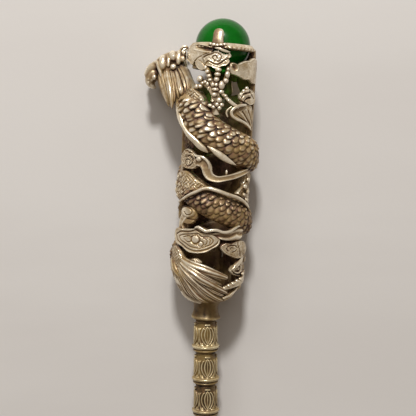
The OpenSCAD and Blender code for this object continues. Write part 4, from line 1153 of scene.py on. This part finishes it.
# The tail's tuft: locks that fan out from its root. Columns: turn, rise, reach, half width, half thickness
TUFT = [
    [[-48, 14.2, 8.2, 0.59, 0.5], [-39, 13.6, 8.4, 0.71, 0.55], [-27, 13.1, 8.6, 0.83, 0.6],
     [-8, 12.5, 8.7, 0.83, 0.6], [8, 11.7, 8.6, 0.68, 0.55], [20, 11.1, 8.3, 0.53, 0.45],
     [29, 10.7, 8.1, 0.35, 0.3], [32, 10.5, 8.0, 0.08, 0.1]],
    [[-46, 13.6, 8.2, 0.47, 0.5], [-34, 12.9, 8.5, 0.53, 0.55], [-20, 12.0, 8.6, 0.53, 0.55],
     [-7, 11.0, 8.6, 0.5, 0.5], [5, 10.1, 8.4, 0.42, 0.45], [16, 9.4, 8.2, 0.29, 0.35],
     [24, 8.9, 8.0, 0.08, 0.1]],
    [[-46, 13.2, 8.3, 0.59, 0.55], [-36, 12.6, 8.6, 0.65, 0.6], [-22, 11.5, 8.8, 0.71, 0.65],
     [-10, 10.3, 8.9, 0.73, 0.65], [2, 9.4, 8.7, 0.65, 0.6], [13, 8.6, 8.4, 0.59, 0.55],
     [24, 7.9, 8.1, 0.5, 0.45], [35, 7.2, 7.8, 0.33, 0.3], [41, 6.8, 7.5, 0.08, 0.1]],
    [[-46, 12.8, 8.2, 0.47, 0.5], [-34, 11.7, 8.5, 0.53, 0.55], [-21, 10.5, 8.6, 0.53, 0.55],
     [-9, 9.2, 8.5, 0.5, 0.5], [2, 8.2, 8.3, 0.47, 0.45], [14, 7.3, 8.0, 0.41, 0.4],
     [26, 6.7, 7.6, 0.33, 0.3], [35, 6.3, 7.3, 0.08, 0.1]],
    [[-48, 12.5, 8.2, 0.53, 0.55], [-36, 11.4, 8.5, 0.59, 0.6], [-24, 10.1, 8.6, 0.65, 0.6],
     [-13, 8.8, 8.5, 0.61, 0.6], [-3, 7.6, 8.2, 0.59, 0.55], [8, 6.6, 7.8, 0.5, 0.5],
     [20, 5.8, 7.4, 0.42, 0.4], [32, 5.4, 7.0, 0.29, 0.3], [40, 5.2, 6.8, 0.08, 0.1]],
    [[-50, 12.2, 8.1, 0.47, 0.5], [-39, 10.8, 8.4, 0.53, 0.55], [-28, 9.4, 8.4, 0.53, 0.55],
     [-18, 8.1, 8.2, 0.5, 0.5], [-9, 6.9, 7.9, 0.47, 0.45], [1, 6.0, 7.5, 0.41, 0.4],
     [13, 5.3, 7.1, 0.31, 0.3], [22, 5.0, 6.8, 0.08, 0.1]],
    [[-52, 12.0, 8.1, 0.53, 0.55], [-43, 10.5, 8.3, 0.59, 0.6], [-34, 8.9, 8.3, 0.61, 0.6],
     [-26, 7.4, 8.0, 0.59, 0.55], [-18, 6.2, 7.6, 0.53, 0.5], [-8, 5.3, 7.1, 0.42, 0.4],
     [3, 4.7, 6.6, 0.08, 0.1]],
    [[-55, 11.7, 8.0, 0.47, 0.5], [-47, 10.1, 8.2, 0.53, 0.55], [-40, 8.5, 8.1, 0.53, 0.55],
     [-33, 7.0, 7.8, 0.5, 0.5], [-26, 5.9, 7.4, 0.42, 0.4], [-17, 5.1, 6.8, 0.08, 0.1]],
    [[-60, 11.4, 7.9, 0.53, 0.5], [-54, 9.8, 8.1, 0.59, 0.55], [-48, 8.3, 8.0, 0.59, 0.55],
     [-42, 7.0, 7.6, 0.53, 0.5], [-35, 6.0, 7.1, 0.42, 0.4], [-28, 5.3, 6.6, 0.08, 0.1]],
    [[-68, 11.6, 8.0, 0.59, 0.5], [-62, 9.9, 8.0, 0.61, 0.55], [-57, 8.4, 7.8, 0.59, 0.55],
     [-51, 7.0, 7.4, 0.53, 0.5], [-45, 6.0, 6.9, 0.4, 0.4], [-39, 5.4, 6.4, 0.08, 0.1]],
    [[-76, 13.8, 8.2, 0.47, 0.45], [-67, 12.6, 8.5, 0.71, 0.6], [-59, 11.4, 8.6, 0.71, 0.6],
     [-53, 10.3, 8.4, 0.53, 0.5], [-49, 9.3, 8.2, 0.08, 0.1]],
    [[-80, 11.5, 7.9, 0.71, 0.6], [-74, 9.9, 7.9, 0.71, 0.6], [-68, 8.3, 7.6, 0.65, 0.55],
     [-62, 6.9, 7.1, 0.5, 0.5], [-56, 5.8, 6.4, 0.08, 0.1]],
    [[-92, 11.5, 7.6, 0.83, 0.7], [-86, 9.5, 7.6, 0.83, 0.7], [-80, 7.7, 7.2, 0.71, 0.6],
     [-73, 6.2, 6.5, 0.35, 0.4], [-68, 5.5, 6.0, 0.08, 0.1]],
    [[-106, 11.3, 7.3, 0.94, 0.7], [-100, 9.2, 7.3, 0.94, 0.7], [-94, 7.4, 6.9, 0.83, 0.6],
     [-86, 5.9, 6.1, 0.35, 0.3]],
    [[-120, 11.0, 7.1, 1.06, 0.7], [-114, 8.8, 7.1, 1.06, 0.7], [-108, 7.0, 6.6, 0.94, 0.6],
     [-100, 5.6, 5.8, 0.35, 0.3]],
]
TUFT_ROOT = [
    [-104, 14.2], [-90, 15.2], [-72, 16.3], [-60, 16.5], [-52, 15.7], [-45, 14.5], [-36, 14.0], [-28, 14.3],
    [-21, 14.6], [-15, 14.2], [-12, 13.8], [-16, 13.4], [-24, 12.7], [-36, 11.6], [-49, 10.4], [-68, 10.2],
    [-90, 11.2], [-108, 12.4],
]
# The plain swelling under the locks
TUFT_BASE = [
    [[-110, 12.8, 6.6, 2.2, 0.8], [-84, 12.0, 7.0, 2.8, 0.9], [-56, 10.8, 7.2, 3.0, 0.9],
     [-28, 9.2, 7.1, 2.4, 0.8], [-4, 7.4, 6.8, 1.6, 0.7], [14, 6.2, 6.4, 0.8, 0.5]],
    [[-100, 8.6, 6.3, 1.6, 0.7], [-70, 7.2, 6.3, 1.8, 0.7], [-40, 6.0, 5.9, 1.6, 0.7],
     [-12, 5.0, 5.4, 1.0, 0.6]],
]


# The low locks lie nearer the middle: from this rise on, over this way down, by this much
DRAWN_FROM = 11.5
DRAWN_OVER = 3.5
DRAWN_BY = 0.75
LOCK_WIDER = 1.16
# The locks' tone, how much brighter a painted highlight makes them about one turn, and over which rises that
# grows
LOCK_TONE = 0.8
LOCK_SHINE = 0.6
SHINE_TURN = -17
SHINE_SPREAD = 19
SHINE_RISES = (5.0, 9.0)
# How many of the first locks have a thinner one between themselves and the next, how deep it lies, its
# share of their width and of their length, and how many rows it has
THIN_LOCKS = 9
THIN_SINK = 0.2
THIN_WIDTH = 0.5
THIN_LENGTH = 0.8
THIN_ROWS = 8


def drawn_in(rows):
    """Rows of a band brought nearer the middle below the root."""
    q = np.asarray(rows, float)
    q[:, 2] -= DRAWN_BY * eased(DRAWN_FROM - q[:, 1], 0, DRAWN_OVER)
    return q


def polished(rows):
    """Adds the tone column of a lock: an even tone and a painted highlight, a bell over its turns that fades
    on the low locks.
    """
    q = drawn_in(rows)
    q[:, 3] *= LOCK_WIDER
    # The painted highlight across the locks
    shine = np.exp(-((q[:, 0] - SHINE_TURN) / SHINE_SPREAD) ** 2) * eased(q[:, 1], *SHINE_RISES)
    return np.column_stack([q, LOCK_TONE + LOCK_SHINE * shine])


def between(one, other):
    """A thinner lock midway between two locks, sunk a little: its rows are the means of theirs."""
    at = np.linspace(0, THIN_LENGTH, THIN_ROWS)
    both = []
    for rows in (one, other):
        places = np.linspace(0, 1, len(rows))
        both.append(np.stack([np.interp(at, places, column) for column in rows.T], -1))
    mean = (both[0] + both[1]) / 2
    mean[:, 3:5] *= THIN_WIDTH
    mean[:, 2] -= THIN_SINK
    return mean


def tail_tuft():
    """Pointed locks that fan out of a grained root, thinner ones between them, over a plain swelling."""
    locks = [polished(rows) for rows in TUFT]
    shapes = [band(rows, groove=0.34, boxy=0.95, step=0.2, sides=40, combs=2 + k % 2)
              for k, rows in enumerate(locks)]
    for one, other in zip(locks[:THIN_LOCKS], locks[1:]):
        shapes.append(band(between(one, other), groove=0.0, boxy=1.0, step=0.2, sides=14))
    shapes += [band(drawn_in(rows), groove=0.0, boxy=0.8, step=0.3, sides=20) for rows in TUFT_BASE]
    root = carved(ground=0.74, grain=0.16, rim=0.0, rough=0.09)
    shapes.append(cloud((-62, 13.4), 8.3, 0.9, TUFT_ROOT, root, rings=60, steps=8))
    cast("tail_tuft", shapes)


# The dragon's own head, seen from its cheek. The far cheek mirrors the near one about CHEEK_MID.
CHEEK_MID = -4.6
# Columns of each lump chain: x, rise, z, radius
SKULL = [
    [[-8.2, 57.0, -2.4, 2.1], [-10.6, 56.8, -2.0, 2.2], [-12.8, 56.1, -2.0, 1.9], [-14.2, 55.2, -2.4, 1.6]],
    [[-12.6, 56.2, -1.8, 1.4], [-14.3, 55.7, -1.6, 1.05], [-15.5, 54.9, -1.8, 0.95],
     [-16.2, 53.8, -2.1, 0.8], [-16.3, 52.9, -2.3, 0.7]],
    [[-14.0, 54.8, -2.0, 1.2], [-15.0, 53.8, -2.1, 1.3], [-15.6, 52.6, -2.3, 1.15],
     [-15.6, 51.8, -2.5, 0.95], [-15.1, 51.1, -2.6, 0.62], [-14.4, 50.8, -2.7, 0.28]],
    [[-14.9, 56.3, -1.0, 0.3], [-14.1, 56.2, -0.4, 0.45], [-13.7, 55.2, 0.0, 0.45], [-13.3, 54.2, 0.2, 0.4],
     [-12.9, 53.0, 0.3, 0.28], [-12.8, 52.3, 0.3, 0.18]],
    [[-13.0, 57.6, -1.2, 0.8], [-12.9, 57.0, -0.45, 0.88], [-12.85, 56.0, -0.05, 0.92],
     [-12.8, 55.1, 0.0, 0.82], [-12.7, 54.7, -0.2, 0.55]],
    [[-12.0, 58.0, -1.2, 0.4], [-11.75, 57.4, -0.1, 0.42], [-11.65, 56.4, 0.5, 0.4],
     [-11.6, 55.3, 0.6, 0.32]],
    [[-11.0, 58.6, -1.2, 0.8], [-10.85, 58.1, -0.3, 0.88], [-10.7, 57.3, 0.1, 0.88],
     [-10.7, 56.7, 0.0, 0.6]],
    [[-9.6, 58.9, -1.0, 0.6], [-9.5, 58.3, -0.1, 0.62], [-9.5, 57.3, 0.35, 0.6], [-9.55, 56.4, 0.45, 0.5],
     [-9.8, 55.8, 0.3, 0.35]],
    [[-8.6, 58.3, -0.7, 0.7], [-8.5, 57.5, 0.1, 0.7], [-8.6, 56.6, 0.3, 0.55]],
    [[-9.1, 59.1, -0.8, 0.35], [-8.9, 59.7, -0.5, 0.35], [-8.3, 60.1, -0.4, 0.32], [-7.7, 59.8, -0.4, 0.28],
     [-7.7, 59.4, -0.5, 0.2]],
    [[-13.6, 54.4, -1.2, 1.0], [-12.0, 54.8, -0.8, 1.1], [-10.2, 55.2, -0.6, 1.1], [-8.8, 55.8, -0.8, 0.9]],
]
# Round knobs. Columns: x, rise, z, radius
SKULL_KNOBS = [
    [-14.6, 53.0, -0.9, 0.62], [-10.5, 55.4, 1.2, 0.68], [-8.3, 58.6, 0.6, 0.5], [-8.8, 55.6, 0.1, 0.4],
    [-15.9, 52.5, -1.3, 0.3], [-15.2, 52.4, -1.2, 0.28], [-15.9, 51.8, -1.5, 0.28],
    [-10.65, 57.7, 0.75, 0.36],
]
FAR_CHEEK = [[-12.6, 55.2, -8.0, 1.4], [-9.6, 55.9, -10.0, 1.45]]
SKULL_MID = [
    [-7.6, 56.4, -4.6, 2.4], [-10.4, 56.3, -4.6, 2.5], [-13.0, 55.4, -4.6, 2.1], [-15.0, 53.8, -4.6, 1.5],
    [-15.6, 52.2, -4.6, 1.0],
]
NECK = [[-6.0, 47.6, 3.4, 2.7], [-8.0, 50.8, 1.0, 2.8], [-9.6, 54.0, -2.2, 2.9], [-9.4, 56.0, -3.6, 2.4]]
HEAD_CELL = 0.16
CHAIN_SIDES = 18


def chain(rows, relief=0.7):
    """A round chain: circles of the rows' radius carried along the rows, closed by half balls at the ends."""
    q, way = through(rows, 0.12, free_place)
    path, r = q[:, :3], q[:, 3]
    left = np.clip(np.minimum(way, way[-1] - way) / r, 0, 1)
    r = (r * np.sqrt(np.clip(1 - (1 - left) ** 2, 0.02, 1)))[:, None]
    angle = np.linspace(0, 2 * np.pi, CHAIN_SIDES, endpoint=False)[None]
    out = np.broadcast_to((0.25, 0.1, 1.0), path.shape)
    return closed_tube(carried(path, out, r * np.cos(angle), r * np.sin(angle)), relief)


def far_side(rows):
    """The same rows on the far cheek."""
    return [[q[0], q[1], 2 * CHEEK_MID - q[2], *q[3:]] for q in rows]


EVENING_ROUNDS = 26
STANDING_MM = 0.3
LEVEL_TONE = 0.69
STANDING_TONE = 0.8


def standing_out(mesh):
    """How far each point stands out of its evened surroundings: about 0.7 where level, 1 on ridges and near 0
    in hollows. The surroundings are the means of the neighbours, taken again and again."""
    n = len(mesh.vertices)
    points, normals = np.empty(3 * n), np.empty(3 * n)
    mesh.vertices.foreach_get("co", points)
    mesh.vertices.foreach_get("normal", normals)
    ends = np.empty(2 * len(mesh.edges), np.int64)
    mesh.edges.foreach_get("vertices", ends)
    a, b = ends[0::2], ends[1::2]
    here, there = np.r_[a, b], np.r_[b, a]
    count = np.maximum(np.bincount(here, minlength=n), 1)
    points = points.reshape(-1, 3)
    level = points
    for _ in range(EVENING_ROUNDS):
        level = np.stack([np.bincount(here, level[there, k], n) / count for k in range(3)], -1)
    out = ((points - level) * normals.reshape(-1, 3)).sum(-1) / (STANDING_MM * MM)
    return np.clip(LEVEL_TONE + STANDING_TONE * (out - np.median(out)), 0.06, 1)


def fused(piece, cell):
    """Melts a piece's overlapping shapes into one skin of small cells, evens it and keeps it as its mesh."""
    melt = piece.modifiers.new("melt", "REMESH")
    melt.mode = "VOXEL"
    melt.voxel_size = cell * MM
    even = piece.modifiers.new("even", "SMOOTH")
    even.iterations = 2
    even.factor = 0.5
    graph = bpy.context.evaluated_depsgraph_get()
    mesh = bpy.data.meshes.new_from_object(piece.evaluated_get(graph))
    piece.modifiers.clear()
    finish_mesh(mesh, standing_out(mesh))
    mesh.name = piece.name
    piece.data = mesh


def dragon_head():
    """Skull, beak, brow lobes and knobs, fused like one casting."""
    both_cheeks = SKULL + [far_side(rows) for rows in SKULL]
    chains = [chain(rows) for rows in both_cheeks + [FAR_CHEEK, SKULL_MID, NECK]]
    knobs = [bead(q[:3], q[3]) for q in SKULL_KNOBS + far_side(SKULL_KNOBS)]
    fused(cast("dragon_head", chains + knobs), HEAD_CELL)


# The mane, from under the skull down over the neck. Columns: x, rise, z, half width, half thickness
MANE = [
    [[-13.9, 54.2, -2.4, 0.4, 0.4], [-13.6, 52.8, -1.4, 0.44, 0.42], [-12.9, 50.8, -0.4, 0.42, 0.4],
     [-12.0, 48.8, 0.6, 0.36, 0.36], [-11.1, 47.0, 1.4, 0.1, 0.15]],
    [[-13.6, 54.5, -1.4, 0.42, 0.42], [-13.2, 52.6, -0.2, 0.48, 0.46], [-12.5, 50.4, 0.8, 0.44, 0.42],
     [-11.6, 48.4, 1.6, 0.38, 0.36], [-10.9, 46.8, 2.1, 0.1, 0.15]],
    [[-13.0, 54.7, -0.8, 0.44, 0.42], [-12.6, 52.8, 0.7, 0.5, 0.46], [-11.9, 50.8, 1.7, 0.46, 0.44],
     [-11.2, 48.9, 2.4, 0.38, 0.4], [-10.7, 47.3, 2.8, 0.1, 0.15]],
    [[-12.3, 54.7, -0.3, 0.4, 0.4], [-11.95, 52.9, 1.5, 0.42, 0.42], [-11.5, 51.2, 2.4, 0.36, 0.4],
     [-11.2, 49.8, 2.9, 0.1, 0.15]],
    [[-11.8, 54.7, 0.0, 0.5, 0.5], [-11.4, 53.0, 1.9, 0.6, 0.6], [-11.0, 51.4, 3.0, 0.68, 0.68],
     [-10.7, 49.9, 3.7, 0.66, 0.64], [-10.4, 48.4, 4.1, 0.52, 0.52], [-10.2, 47.1, 4.2, 0.32, 0.32],
     [-10.15, 46.3, 4.1, 0.08, 0.12]],
    [[-10.9, 54.4, 0.8, 0.32, 0.36], [-10.45, 52.8, 2.3, 0.36, 0.4], [-10.05, 51.0, 3.3, 0.34, 0.36],
     [-9.8, 49.2, 3.9, 0.28, 0.3], [-9.7, 47.9, 4.2, 0.08, 0.12]],
    [[-10.5, 54.3, 0.9, 0.38, 0.4], [-9.95, 52.7, 2.6, 0.44, 0.48], [-9.45, 51.2, 3.6, 0.44, 0.48],
     [-9.05, 49.8, 4.3, 0.36, 0.42], [-8.85, 48.6, 4.6, 0.1, 0.15]],
    [[-9.9, 54.5, 1.0, 0.36, 0.4], [-9.35, 53.3, 2.6, 0.42, 0.48], [-8.9, 51.9, 3.8, 0.52, 0.58],
     [-8.5, 50.6, 4.6, 0.56, 0.62], [-8.25, 49.8, 4.9, 0.42, 0.46], [-8.15, 49.3, 5.0, 0.1, 0.15]],
    [[-9.4, 55.1, 0.8, 0.3, 0.34], [-8.6, 53.8, 2.5, 0.36, 0.4], [-8.0, 52.3, 3.8, 0.38, 0.42],
     [-7.6, 50.9, 4.6, 0.3, 0.34], [-7.5, 50.0, 4.9, 0.08, 0.12]],
    [[-9.0, 55.5, 0.6, 0.3, 0.34], [-8.1, 54.2, 2.2, 0.36, 0.4], [-7.4, 52.8, 3.4, 0.36, 0.4],
     [-7.0, 51.3, 4.4, 0.3, 0.34], [-6.9, 50.4, 4.9, 0.08, 0.12]],
    [[-8.8, 55.6, 0.4, 0.3, 0.36], [-8.0, 54.4, 1.7, 0.36, 0.4], [-7.3, 52.9, 3.0, 0.36, 0.4],
     [-6.8, 51.5, 4.1, 0.3, 0.34], [-6.6, 50.4, 4.8, 0.08, 0.12]],
    [[-8.5, 55.5, 0.0, 0.3, 0.34], [-7.8, 54.4, 1.0, 0.36, 0.4], [-7.1, 53.0, 2.2, 0.38, 0.4],
     [-6.5, 51.7, 3.4, 0.32, 0.34], [-6.2, 50.8, 4.2, 0.08, 0.12]],
]
# The swelling under the locks. Columns: x, rise, z, radius
MANE_GROUND = [
    [[-12.4, 54.2, -2.2, 1.2], [-12.0, 52.2, -0.9, 1.6], [-11.2, 50.2, 0.6, 1.6], [-10.6, 48.2, 1.8, 1.2],
     [-10.4, 47.2, 2.2, 0.7]],
    [[-10.6, 54.6, -1.6, 1.8], [-10.0, 52.6, 0.2, 2.0], [-9.4, 50.8, 1.8, 1.9], [-8.8, 49.4, 2.8, 1.4]],
    [[-8.9, 54.9, -1.6, 1.5], [-8.5, 53.4, 0.0, 1.6], [-7.9, 51.9, 1.7, 1.5], [-7.4, 50.6, 2.9, 1.3]],
]
# Locks of the side that lies down. Columns as for the mane
MANE_BELOW = [
    [[-13.4, 54.0, -4.2, 0.5, 0.5], [-12.8, 52.0, -3.2, 0.55, 0.55], [-11.8, 49.8, -1.8, 0.5, 0.5],
     [-10.9, 47.8, -0.4, 0.4, 0.4], [-10.3, 46.6, 0.4, 0.1, 0.15]],
    [[-13.0, 54.0, -5.8, 0.5, 0.5], [-12.0, 51.8, -4.4, 0.6, 0.6], [-10.9, 49.6, -2.8, 0.5, 0.5],
     [-10.0, 47.8, -1.4, 0.15, 0.2]],
    [[-12.2, 54.0, -7.4, 0.5, 0.5], [-11.0, 51.8, -5.6, 0.6, 0.6], [-9.8, 49.6, -3.6, 0.5, 0.5],
     [-8.9, 48.0, -2.0, 0.15, 0.2]],
    [[-10.8, 54.2, -8.6, 0.5, 0.5], [-9.6, 52.0, -6.4, 0.6, 0.6], [-8.4, 50.0, -4.2, 0.5, 0.5],
     [-7.6, 48.6, -2.6, 0.15, 0.2]],
]


def mane():
    """Pointed locks that flow from the skull over the neck, on both sides."""
    shapes = [lock(rows, (-0.25, 0.1, 1), groove=0.22, boxy=0.9, step=0.14, sides=30, combs=2 + k % 2)
              for k, rows in enumerate(MANE)]
    shapes += [chain(rows, relief=0.5) for rows in MANE_GROUND]
    shapes += [lock(rows, (-0.8, -0.2, -0.6), groove=0.15) for rows in MANE_BELOW]
    cast("mane", shapes)


# The stem: petal segments between collars. Way counts down from the top of each segment.
COLLAR_PITCH = 7.4
SEGMENTS = 3
STEM_TOP = 0.1
STEM_NECK = 0.4
# The reaches over which a collar's flank and its round rise grow brighter with a painted highlight
COLLAR_FLANK = (2.66, 2.84)
COLLAR_ROUND = (2.84, 3.06)
# Reach of the stem's two rings above its first segment
NECK_REACH = [[2.1], [2.15]]
SEGMENT_RINGS = 104
STEM_SIDES = 224
PETALS = 4
# Columns: way down one segment, reach
SEGMENT = [
    [0.0, 2.15], [0.15, 2.3], [0.5, 2.48], [1.2, 2.55], [2.4, 2.57], [3.8, 2.57], [4.8, 2.6], [5.1, 2.68],
    [5.3, 2.86], [5.5, 3.03], [5.75, 3.12], [6.0, 3.08], [6.18, 2.92], [6.28, 2.62], [6.36, 2.56],
    [6.46, 2.66], [6.6, 2.85], [6.78, 2.85], [6.9, 2.66], [6.98, 2.3], [7.08, 2.12], [7.4, 2.12],
]
PETAL_FROM = 0.5
PETAL_TO = 5.2
PETAL_HIGH = 0.42
# The relief at which the petals lie level with the segment's own section
PETAL_LEVEL = 0.7
PETAL_SHIFT = 0.38
# How much darker each segment is than the one above it
SEGMENT_DULLER = 0.1
TAB_HIGH = 0.95
TAB_SIDE = 0.36
TIPS_HIGH = 0.7
# The ribs from a petal's middle outwards: height, place, how far it stays open at its ends, width
PETAL_RIBS = [
    (0.75, 0.0, 0.0, 0.12), (1.0, 0.34, 0.0, 0.13), (0.95, 0.7, 0.35, 0.13), (0.8, 1.0, 0.8, 0.11),
]


def petal_relief(x, y):
    """Height of the petal pattern: x from -1 to 1 across a petal, y from 0 at its top to 1 at its foot. Each
    rib stands at its share of parted + (1 - parted) sin(pi t)^0.8, so the inner ones close to a bud and the
    outer ones bow beside it. A tab lies over the bud and tips below."""
    swell = np.sin(np.pi * np.clip((y - 0.1) / 0.84, 0, 1)) ** 0.8
    side = np.abs(x)
    ribs = np.zeros(np.broadcast(x, y).shape)
    for high, share, parted, width in PETAL_RIBS:
        line = share * (parted + (1 - parted) * swell)
        ends = eased(y, 0.04 + 0.1 * share, 0.12 + 0.14 * share) * eased(1.02 - y, 0, 0.06)
        ribs = np.maximum(ribs, high * ends * np.exp(-((side - line) / width) ** 2))
    tab = TAB_HIGH * eased(TAB_SIDE - side, 0, 0.06) * eased(0.06 - np.abs(y - 0.03), 0, 0.03)
    tips = TIPS_HIGH * eased(y, 0.86, 0.93) * np.abs(np.cos(1.5 * np.pi * x)) * eased(1.08 - y, 0, 0.08)
    return np.clip(np.maximum(np.maximum(ribs, tab), tips), 0, 1.1)


def stem():
    """The stem as one turned profile with the petal pattern raised on each segment."""
    outline = np.asarray(SEGMENT, float)
    way = np.linspace(0, COLLAR_PITCH, SEGMENT_RINGS)[:, None]
    turn = np.linspace(0, 360, STEM_SIDES, endpoint=False)[None]
    reach = np.interp(way, outline[:, 0], outline[:, 1])
    x = np.mod(turn / 360 * PETALS + PETAL_SHIFT, 1) * 2 - 1
    y = (way - PETAL_FROM) / (PETAL_TO - PETAL_FROM)
    shown = eased(y, -0.1, 0.0) * eased(1.1 - y, 0, 0.06)
    relief = petal_relief(x, y) * shown
    # Collars lighter on their round and flank: a painted highlight
    collar = 0.45 * eased(reach, *COLLAR_ROUND) + 0.2 * eased(reach, *COLLAR_FLANK)
    reach = reach + PETAL_HIGH * (relief - PETAL_LEVEL) * shown
    rubbed = np.clip(0.1 + 0.85 * relief + collar, 0, 1)
    start = STEM_TOP + STEM_NECK
    rings = [around(turn, np.array([[-STEM_TOP], [-start]]), np.array(NECK_REACH))]
    tones = [np.full(rings[0].shape[:2], 0.1)]
    for k in range(SEGMENTS):
        rings.append(around(turn, -(start + k * COLLAR_PITCH + way), reach))
        tones.append(rubbed * (1 - SEGMENT_DULLER * k))
    shape = closed_tube(np.concatenate(rings), np.concatenate(tones))
    made("stem_shaft", [shape], stem_metal, lay=laid_stem, stands_for=["stem"])


BALL_TILTS = 90
BALL_TURNS = 128
BALL_POLE = 0.002
BALL_INSIDE = 0.01


def ball():
    """The green ball: a grid of tilts and turns on its sphere, a hair inside its solid."""
    tilt = np.linspace(BALL_POLE, np.pi - BALL_POLE, BALL_TILTS)[:, None]
    turn = np.linspace(0, 360, BALL_TURNS, endpoint=False)[None]
    r = BALL_R - BALL_INSIDE
    points = around(turn, BALL_RISE + r * np.cos(tilt), r * np.sin(tilt))
    made("green_ball", [closed_tube(points, 1.0)], green_glass(), stands_for=["ball"])


def pin():
    """The plain pin keeps its solid and takes its finish here."""
    node = frame["nodes"]["pin"]
    node.data.materials.clear()
    node.data.materials.append(rubbed_metal())


# The floor, the lights and the camera

FLOOR_HALF = 0.45
FLOOR_POINTS = 70
FLOOR_WAVE = 0.0004


def floor():
    """A plain floor a little under the stick's lowest point, gently waved by two slow sines."""
    line = np.linspace(-FLOOR_HALF, FLOOR_HALF, FLOOR_POINTS)
    x, y = np.meshgrid(line, line, indexing="ij")
    z = FLOOR_WAVE * (np.sin(23 * x + 9 * y) * np.sin(17 * y - 5 * x) - 1)
    i, j = np.meshgrid(np.arange(FLOOR_POINTS - 1), np.arange(FLOOR_POINTS - 1), indexing="ij")
    a = i * FLOOR_POINTS + j
    quads = np.stack([a, a + FLOOR_POINTS, a + FLOOR_POINTS + 1, a + 1], -1).reshape(-1, 4)
    mesh = bpy.data.meshes.new("floor")
    mesh.from_pydata(np.stack([x, y, z], -1).reshape(-1, 3).tolist(), [], quads.tolist())
    mesh.polygons.foreach_set("use_smooth", np.ones(len(mesh.polygons), bool))
    mesh.materials.append(pale_cloth())
    piece = bpy.data.objects.new("floor", mesh)
    bpy.context.scene.collection.objects.link(piece)


LIT_PLACE = (0, 35, 0)
# Lamps. Columns: name, place from the head's middle, size, power, tint
LAMPS = [
    ("lamp", (-0.018, 0.39, 0.41), 0.07, 2.58, (1.0, 0.99, 0.975)),
    ("lamp_soft", (0.0, 0.23, 0.46), 0.36, 0.45, (1.0, 0.995, 0.985)),
    ("lamp_left", (-0.22, 0.24, 0.34), 0.16, 0.3, (1.0, 0.995, 0.985)),
]
GLOW_PLACE = (1.0, 49.5, -1.5)
GLOW_TINT = (0.06, 1.0, 0.06)
GLOW_POWER = 0.0001
GLOW_SIZE = 0.001
ROOM_TINT = (0.92, 0.75, 0.60, 1)
ROOM_POWER = 0.20


def lamp(name, way, size, power, tint):
    """A square soft lamp that looks back at the middle of the head."""
    data = bpy.data.lights.new(name, "AREA")
    data.size = size
    data.energy = power
    data.color = tint
    placed = bpy.data.objects.new(name, data)
    placed.location = laid_head(LIT_PLACE) + np.array(way)
    placed.rotation_euler = (-Vector(way)).to_track_quat("-Z", "Y").to_euler()
    bpy.context.scene.collection.objects.link(placed)


VIEW_TILT = math.radians(5.8)
VIEW_DISTANCE = 210.0
VIEW_AIM = (0.55, 24.9, 0.0)
FRAME_PIXELS = 416
FOCAL_PIXELS = 943
SENSOR = 36.0


def camera():
    """Looks down on the stick, tilted a little towards its pin, as far off as the picture's frame asks."""
    data = bpy.data.cameras.new("camera")
    data.sensor_width = SENSOR
    data.lens = FOCAL_PIXELS / FRAME_PIXELS * SENSOR
    data.clip_start = 0.01
    aim = np.asarray(VIEW_AIM)
    back = np.array([0, math.sin(VIEW_TILT), math.cos(VIEW_TILT)])
    up = np.array([0, math.cos(VIEW_TILT), -math.sin(VIEW_TILT)])
    place = laid_stem(aim + VIEW_DISTANCE * back)
    axes = [SIDE, up[1] * LINE + up[2] * AWAY, back[1] * LINE + back[2] * AWAY]
    matrix = np.eye(4)
    matrix[:3, :3] = np.stack(axes, 1)
    matrix[:3, 3] = place
    lens = bpy.data.objects.new("camera", data)
    lens.matrix_world = Matrix(matrix.tolist())
    bpy.context.scene.collection.objects.link(lens)
    bpy.context.scene.camera = lens


def lights():
    """A lamp beyond the ball, halfway up, a broad soft one overhead, a weak one at the left, a dim room,
    and a weak green glow inside the cage for the light that passes through the ball."""
    for row in LAMPS:
        lamp(*row)
    data = bpy.data.lights.new("glow", "POINT")
    data.energy = GLOW_POWER
    data.color = GLOW_TINT
    data.shadow_soft_size = GLOW_SIZE
    data.specular_factor = 0.0
    glow = bpy.data.objects.new("glow", data)
    glow.location = laid_head(GLOW_PLACE)
    glow.visible_camera = False
    bpy.context.scene.collection.objects.link(glow)
    world = bpy.data.worlds.new("room")
    world.use_nodes = True
    set_inputs(world.node_tree.nodes["Background"], Color=ROOM_TINT, Strength=ROOM_POWER)
    bpy.context.scene.world = world
    bpy.context.scene.view_settings.view_transform = "Standard"


camera()
lights()
floor()
dragon_body()
body_edges()
holder()
foot()
cloud_heads()
cloud_scrolls()
tail_tuft()
dragon_head()
mane()
stem()
ball()
pin()
